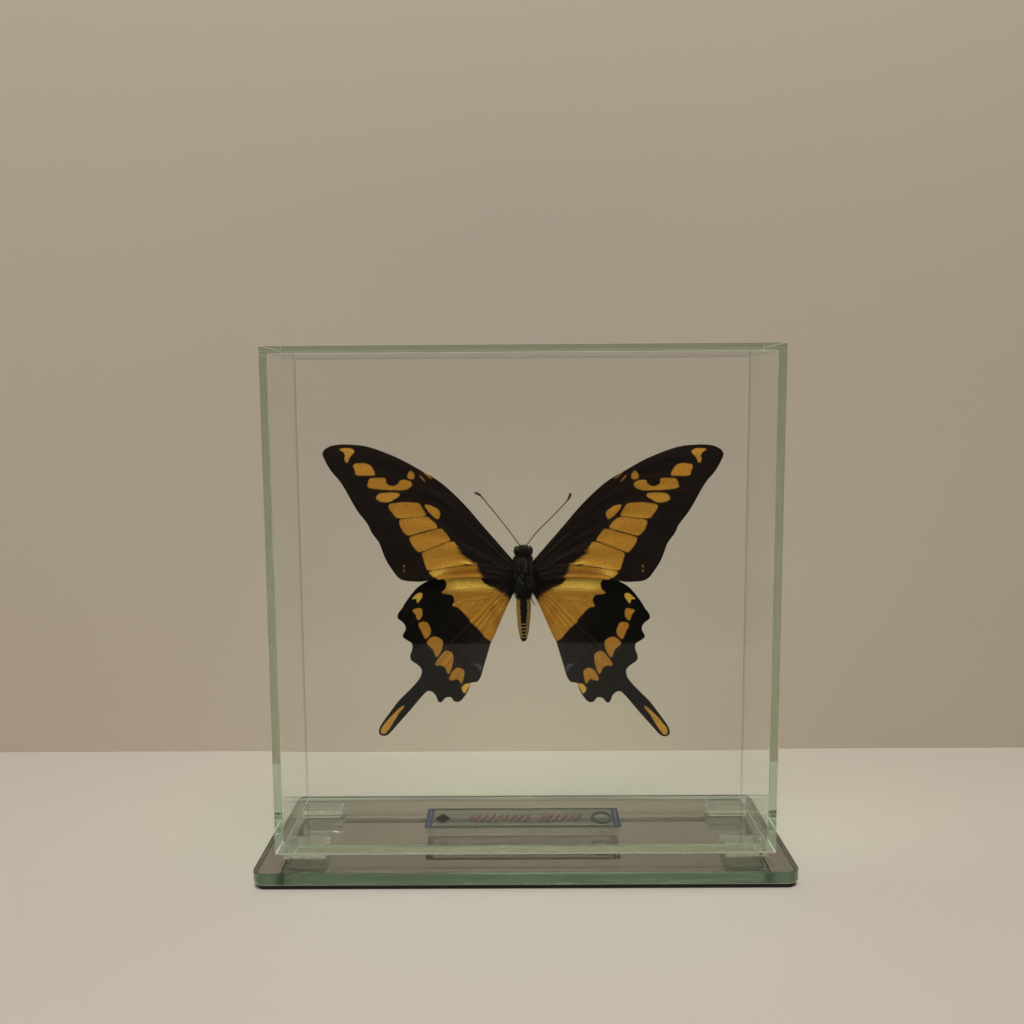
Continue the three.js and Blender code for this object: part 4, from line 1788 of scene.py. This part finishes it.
    def skin(self, material: Material) -> Piece:
        """The body's skin, closed at crown and tip.

        The rows lie closer together towards both ends: their share of the way is half of 1 - cos.

        Args:
            material: the body's finish.

        Returns:
            The skin, standing for the CAD body.
        """
        rows, columns = self.skin_grid
        low, high = self.profile[0][1], self.profile[-1][1]
        share = 0.5 - 0.5 * np.cos(math.pi * np.linspace(0.0, 1.0, rows))
        around = FULL_TURN * np.arange(columns) / columns
        heights = low + (high - low) * share
        along, angle = (grid.ravel() for grid in np.meshgrid(heights, around, indexing="ij"))
        ends = np.array([low, high])
        poles = self.world(np.zeros(2), np.zeros(2), ends + self.places.waist)
        turn = np.minimum(angle, FULL_TURN - angle)
        values = {"along": np.append(along, ends), "turn": np.append(turn, [0.0, 0.0])}
        vertices = np.vstack([self.surface(along, angle), poles])
        form = Form(vertices, grid_quads(rows, columns, wrap=True), end_fans(rows, columns), values)
        piece = make_piece("body_skin", form.turned_out(), material)
        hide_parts("body")
        return piece

    def hairs(self, roots: np.ndarray, tips: np.ndarray, bend: np.ndarray, radius: float) -> Form:
        """Many thin curved hairs as one mesh.

        Each hair is a three-sided section carried along root + s (tip - root) + s^2 bend, and its radius
        falls in a straight line to a point.

        Args:
            roots: where the hairs start.
            tips: where they would end if straight.
            bend: how far each tip is drawn aside.
            radius: the radius at the root.

        Returns:
            All the hairs.
        """
        steps, sides, taper = 4, 3, 0.85
        s = np.linspace(0.0, 1.0, steps)[None, :, None]
        middle = roots[:, None, :] + s * (tips - roots)[:, None, :] + s**2 * bend[:, None, :]
        tangent = tips - roots
        tangent /= np.linalg.norm(tangent, axis=1)[:, None]
        guide = np.where(np.abs(tangent[:, 2:3]) < STEEP, [[0.0, 0.0, 1.0]], [[1.0, 0.0, 0.0]])
        ring = section(tangent, guide, sides)
        size = radius * (1.0 - taper * s)
        vertices = (middle[:, :, None, :] + size[..., None] * ring[:, None, :, :]).reshape(-1, 3)
        one = grid_quads(steps, sides, wrap=True)
        caps = np.array([[0, 1, 2], [(steps - 1) * sides + k for k in (2, 1, 0)]])
        starts = np.arange(len(roots))[:, None, None] * steps * sides
        return Form(vertices, (one[None] + starts).reshape(-1, 4), (caps[None] + starts).reshape(-1, 3))

    def down(self, material: Material) -> Piece:
        """The long dark down of head and thorax, which spreads over the wing roots.

        A hair is longest at the sides of the lower thorax and short on the head. It lies downwards and
        outwards, shaken a little, and droops at its tip.

        Args:
            material: the down's finish.

        Returns:
            The down.
        """
        rng = np.random.default_rng(SEED)
        count = self.down_count
        rooting, rise, sideways_lie, lie_shake = -0.1, 0.42, 0.5, 0.28
        side_gain, side_middle, side_width, head_share = 1.4, 3.0, 4.0, 0.35
        lowest_lie, lie_gain, lie_start, lie_reach = -0.9, 0.5, 2, 12
        droop, bend_shake = np.array([0.0, 0.0, -0.25]), 0.12
        along = rng.uniform(*self.down_range, count)
        angle = rng.uniform(0, FULL_TURN, count)
        roots = self.surface(along, angle, rooting)
        sideways = np.sin(angle)
        length = rng.uniform(*self.down_length, count)
        length = length * (1 + side_gain * np.abs(sideways) * bell(along, side_middle, side_width))
        length = (length * np.where(along > self.neck, head_share, 1.0))[:, None]
        downwards = lowest_lie + lie_gain * (along - lie_start) / lie_reach
        lie = np.stack([sideways_lie * sideways, np.zeros(count), downwards], 1)
        lie += rng.normal(0, lie_shake, (count, 3))
        tips = roots + length * (rise * self.outward(along, angle) + lie)
        bend = length * droop + bend_shake * rng.normal(0, 1, (count, 3)) * length
        forms = [self.hairs(roots, tips, bend, self.hair_radius), self.wing_root_hairs(rng)]
        return make_piece("thorax_down", joined(forms), material)

    def wing_root_hairs(self, rng: np.random.Generator) -> Form:
        """Hairs that fan out from the thorax and lie flat on the roots of the wings.

        Only those between a rising line below and a bell above are kept, so their edge is rounded.

        Args:
            rng: the source of random draws.

        Returns:
            The hairs.
        """
        count, start = self.root_hair_count, self.root_hair_start
        reach, crowding = 4.6, 1.6
        line_start, line_slope = 77.0, 0.45
        bell_low, bell_height, bell_width = 76.8, 7.5, 3.2
        fan_x, fan_z, fan_tilt, fan_shake = -3.0, 82.5, -0.15, 0.22
        wing_front, pile_height, pile_reach = -0.98, 0.5, 2.0
        rises, settling, flattening, droop_share = (-0.25, 0.05), 0.1, 0.8, -0.3
        side = rng.choice([-1.0, 1.0], count)
        out = start + reach * rng.uniform(0, 1, count) ** crowding
        high = rng.uniform(*self.root_hair_range, count)
        above = high - line_start > line_slope * (out - start)
        below = high - bell_low < bell_height * bell(out, start, bell_width)
        side, out, high = (values[above & below] for values in (side, out, high))
        count = len(out)
        slope = np.arctan2(high - fan_z, out - fan_x) + fan_tilt + rng.normal(0, fan_shake, count)
        length = rng.uniform(*self.root_hair_length, count)
        pile = rng.uniform(0, pile_height, count) * np.exp(-(out - start) / pile_reach)
        depth = wing_front - out * math.tan(math.radians(self.dihedral)) - pile
        roots = self.world(side * out, depth, high)
        rise = rng.uniform(*rises, count)
        way = np.stack([side * np.cos(slope), rise, np.sin(slope)], 1)
        droop = droop_share * length * rng.uniform(0, 1, count)
        bend = np.stack([np.zeros(count), settling - rise * length * flattening, droop], 1)
        return self.hairs(roots, roots + length[:, None] * way, bend, self.hair_radius)

    def streaks(self, material: Material) -> Piece:
        """Sparse paler hairs that lie down the middle of the thorax; their paleness is partly the hairs' own
        and partly a painted highlight along it.

        Args:
            material: their finish.

        Returns:
            The hairs.
        """
        rng = np.random.default_rng(SEED + 1)
        count = self.streak_count
        top, reach, crowding, fan, shake = 12.5, 10.5, 1.4, 0.7, 0.12
        stand_off, rise, sideways_lie, down_lie = 0.25, 0.3, 0.35, -0.9
        along = top - reach * rng.uniform(0, 1, count) ** crowding
        angle = rng.normal(0, fan, count)
        roots = self.surface(along, angle, stand_off)
        length = rng.uniform(*self.streak_length, count)[:, None]
        lie = np.stack([sideways_lie * np.sin(angle), np.zeros(count), np.full(count, down_lie)], 1)
        way = rise * self.outward(along, angle) + lie + rng.normal(0, shake, (count, 3))
        bend = length * rng.normal(0, shake, (count, 3))
        form = self.hairs(roots, roots + length * way, bend, self.streak_radius)
        return make_piece("thorax_streaks_and_highlights", form, material)

    def domes(
        self, name: str, half: Place, places: tuple[Place, ...], material: Material
    ) -> Piece:
        """Rounded parts of the head and collar, as one piece.

        Each is an ellipsoid: (x, y, z) = half sizes times (sin b cos a, sin b sin a, cos b).

        Args:
            name: the piece's name.
            half: half the width, depth and height of each.
            places: their middles.
            material: their finish.

        Returns:
            The piece.
        """
        rows, columns = self.dome_grid
        down, around = np.linspace(0, math.pi, rows + 2)[1:-1], FULL_TURN * np.arange(columns) / columns
        b, a = np.meshgrid(down, around, indexing="ij")
        ball = np.stack([np.sin(b) * np.cos(a), np.sin(b) * np.sin(a), np.cos(b)], -1).reshape(-1, 3)
        ball = np.vstack([ball, [[0, 0, 1], [0, 0, -1]]])
        forms = [
            Form(
                ball * half + self.world(*np.array(place)), grid_quads(rows, columns, wrap=True),
                end_fans(rows, columns),
            ).turned_out()
            for place in places
        ]
        return make_piece(name, joined(forms), material)

    def antenna(self, side: int, material: Material) -> Piece:
        """One jointed antenna with its club.

        The radius is thinnest past the root, swells into the club and dips at each joint.

        Args:
            side: -1 left, 1 right.
            material: the antenna's finish.

        Returns:
            The antenna, standing for its CAD node.
        """
        flat = spread(smooth_curve(np.array(self.antennae[side])), self.thread_samples)
        s = np.linspace(0.0, 1.0, len(flat))
        path = self.world(flat[:, 0], np.zeros(len(flat)), flat[:, 1])
        club_gain, club_place, club_width, tip_share = 0.27, 0.955, 0.06, 0.35
        root_gain, root_reach, joint_dip, joint_sharpness = 0.05, 0.03, 0.1, 8
        club = club_gain * bell(s, club_place, club_width)
        radii = self.thread_radius + root_gain * np.exp(-s / root_reach) + club
        radii = radii * (1 - joint_dip * np.abs(np.sin(math.pi * self.joints * s)) ** joint_sharpness)
        radii[-1] *= tip_share
        name = f"antenna_{side_name(side)}"
        piece = make_piece(f"{name}_thread", tube(path, radii), material)
        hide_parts(name)
        return piece

    def limb(self, line: tuple[Place, ...], side: int, samples: int) -> np.ndarray:
        """The middle line of a leg or palp.

        Args:
            line: its places on the right side.
            side: -1 left, 1 right.
            samples: how many samples it gets.

        Returns:
            The samples, in the row frame.
        """
        places = spread(smooth_curve(np.array(line) * np.array([side, 1, 1])), samples)
        return self.world(*places.T)

    def limbs(self, material: Material) -> Piece:
        """The folded legs on the underside, one of them hanging out, two palps and the coiled tongue.

        A leg tapers and is thin at its knee, a palp tapers with the square of the way, and the tongue is a
        flat spiral whose size shrinks evenly with its turn.

        Args:
            material: their finish.

        Returns:
            All of them as one piece.
        """
        leg_samples, palp_samples, tongue_samples, sides = 40, 16, 120, 8
        knee, knee_width, knee_dip = 0.36, 0.03, 0.05
        (leg_start, leg_taper), (palp_start, palp_taper) = self.leg_radii, self.palp_radii
        s = np.linspace(0, 1, leg_samples)
        leg_radii = leg_start - leg_taper * s - knee_dip * bell(s, knee, knee_width)
        palp_radii = palp_start - palp_taper * np.linspace(0, 1, palp_samples) ** 2
        forms = []
        for side in (-1, 1):
            for leg in self.legs[:self.legs_shown[side]]:
                forms.append(tube(self.limb(leg, side, leg_samples), leg_radii, sides))
            forms.append(tube(self.limb(self.palp, side, palp_samples), palp_radii))
        angle = np.linspace(0, self.tongue_turn, tongue_samples)
        widest, shrink = self.tongue_size
        size = widest - shrink * angle / self.tongue_turn
        back, up = self.tongue_middle
        coil = self.world(np.zeros(tongue_samples), back + size * np.cos(angle), up + size * np.sin(angle))
        forms.append(tube(coil, np.full(tongue_samples, self.tongue_radius), sides))
        return make_piece("limbs_and_tongue", joined(forms), material)

    def build(self) -> None:
        """Makes every piece of the insect but its wings."""
        chitin = ChitinFinish("antenna_chitin", (0.010, 0.007, 0.005), 0.45).build()
        limb = ChitinFinish("limb_chitin", (0.016, 0.011, 0.008), 0.4).build()
        eye = ChitinFinish("eye_dome", (0.0075, 0.0055, 0.003), 0.45, 2600.0, 0.16).build()
        # paler hairs: partly their own colour and partly a painted highlight down the thorax
        streak = ChitinFinish("pale_hair_and_highlight", (0.05, 0.042, 0.035), 0.6, 300.0, 0.3).build()
        hair = ChitinFinish("dark_down", (0.0060, 0.0040, 0.0034), 0.7, 300.0, 0.12).build()
        self.skin(BodyFinish().build())
        self.down(hair)
        self.streaks(streak)
        self.domes("eyes", self.eye_half, self.eyes, eye)
        self.domes("collar", self.collar_half, self.collar, hair)
        self.limbs(limb)
        for side in (-1, 1):
            self.antenna(side, chitin)


# ---- studio ----


@dataclass(frozen=True)
class Viewpoint:
    """The camera: place in millimetres, turns in degrees, and lens and sensor width in millimetres."""

    place: Place = (-1.836, -297.366, 140.209)
    yaw: float = -0.3052
    pitch: float = 6.132
    roll: float = 0.375
    lens: float = 33.75
    sensor: float = 36.0
    nearest: float = 0.01

    def build(self) -> None:
        """Makes the scene's camera."""
        yaw, pitch, roll = (math.radians(v) for v in (self.yaw, self.pitch, self.roll))
        ahead = np.array([math.sin(yaw) * math.cos(pitch), math.cos(yaw) * math.cos(pitch), -math.sin(pitch)])
        right = np.array([math.cos(yaw), -math.sin(yaw), 0.0])
        down = np.cross(ahead, right)
        turned_right = math.cos(roll) * right + math.sin(roll) * down
        turned_down = -math.sin(roll) * right + math.cos(roll) * down
        data = bpy.data.cameras.new("camera")
        data.lens = self.lens
        data.sensor_width = self.sensor
        data.clip_start = self.nearest
        camera = bpy.data.objects.new("camera", data)
        matrix = np.eye(4)
        matrix[:3] = np.column_stack([turned_right, -turned_down, -ahead, np.array(self.place) * MM])
        camera.matrix_world = Matrix(matrix.tolist())
        bpy.context.scene.collection.objects.link(camera)
        bpy.context.scene.camera = camera


@dataclass(frozen=True)
class Lamp:
    """A square soft lamp: where it hangs and what it shines at in metres, its side, watts and colour."""

    name: str
    place: Place
    target: Place
    power: float
    colour: Colour
    size: float = 0.5

    def build(self) -> None:
        """Makes the lamp, turned towards its target."""
        data = bpy.data.lights.new(self.name, "AREA")
        data.size = self.size
        data.energy = self.power
        data.color = self.colour
        lamp = bpy.data.objects.new(self.name, data)
        back = np.array(self.place) - np.array(self.target)
        lamp.location = self.place
        lamp.rotation_mode = "QUATERNION"
        lamp.rotation_quaternion = Vector(back.tolist()).to_track_quat("Z", "Y")
        bpy.context.scene.collection.objects.link(lamp)


@dataclass
class Studio:
    """Pale floor, plain one-sided backdrop, soft lamps and dim surroundings; its sizes are in metres."""

    floor_colour: Colour = (0.50, 0.46, 0.40)
    wall_colour: Colour = (0.60, 0.52, 0.43)
    wall_y: float = 0.0868
    wall_height: float = 1.2
    front_y: float = -0.311
    reach: float = 2.0
    surroundings: Colour = (0.40, 0.375, 0.34)
    diffuse_share: float = 0.3
    mirrored_share: float = 0.05
    inside_share: float = 0.6
    inside_from: Point = (7.0, 8.0)
    bounces: int = 24
    glossy_bounces: int = 16
    lamps: tuple[Lamp, ...] = (
        Lamp("ceiling_lamp", (0.1, -0.25, 1.1), (0.0, 0.0, 0.05), 9.5, (1.0, 0.985, 0.95)),
        Lamp("side_lamp", (-0.9, -0.5, 0.7), (0.0, 0.0, 0.08), 3.0, (1.0, 0.985, 0.96)),
    )

    def sheet(self, name: str, corners: list[Place], finish: StageFinish) -> None:
        """A flat four-sided sheet that isn't part of the object.

        Args:
            name: the sheet's name.
            corners: its corners in metres, in turn round the side that is seen.
            finish: its paint.
        """
        mesh = bpy.data.meshes.new(name)
        mesh.from_pydata(corners, [], [(0, 1, 2, 3)])
        mesh.materials.append(finish.build())
        sheet = bpy.data.objects.new(name, mesh)
        bpy.context.scene.collection.objects.link(sheet)

    def surround(self) -> None:
        """Makes the surroundings: pale where they are seen, dim as a light and as a reflection.

        Light that has gone many times back and forth inside the glass gets more of them again.
        """
        world = bpy.data.worlds.new("surroundings")
        world.use_nodes = True
        graph = Graph(world.node_tree)
        background = world.node_tree.nodes["Background"]
        rays = graph.add("ShaderNodeLightPath").outputs
        as_light = graph.ramp(rays["Diffuse Depth"], Step(0.0, 1.0, 1.0, self.diffuse_share))
        as_mirrored = graph.ramp(rays["Glossy Depth"], Step(0.0, 1.0, 1.0, self.mirrored_share))
        inside = graph.ramp(rays["Ray Depth"], Step(*self.inside_from, 0.0, self.inside_share))
        as_seen = graph.math("MAXIMUM", as_mirrored, inside)
        graph.fill(background, {"Color": self.surroundings, "Strength": graph.times(as_light, as_seen)})
        bpy.context.scene.world = world

    def build(self) -> None:
        """Makes the stage and its light."""
        left, right = -self.reach, self.reach
        front, back, wall, top = self.front_y, self.reach, self.wall_y, self.wall_height
        floor = [(left, front, 0), (right, front, 0), (right, back, 0), (left, back, 0)]
        backdrop = [(left, wall, 0), (right, wall, 0), (right, wall, top), (left, wall, top)]
        self.sheet("floor", floor, StageFinish("floor_paint", self.floor_colour))
        self.sheet("backdrop", backdrop, StageFinish("backdrop_paint", self.wall_colour, one_sided=True))
        for lamp in self.lamps:
            lamp.build()
        self.surround()
        scene = bpy.context.scene
        scene.view_settings.view_transform = "Standard"
        scene.cycles.max_bounces = self.bounces
        scene.cycles.glossy_bounces = self.glossy_bounces
        scene.cycles.transmission_bounces = self.bounces
        scene.cycles.transparent_max_bounces = self.bounces


def main() -> None:
    """Builds every sub-assembly in order."""
    logging.basicConfig(level=logging.INFO, format="%(message)s")
    places = Places.from_frame()
    DisplayCase().dress(frame["nodes"])
    scales = WingFinish().build()
    for plan in (FOREWING, HINDWING):
        for side in (-1, 1):
            Wing(plan, places).build(side, scales)
    Insect(places).build()
    Studio().build()
    Viewpoint().build()


if __name__ == "__main__":
    main()
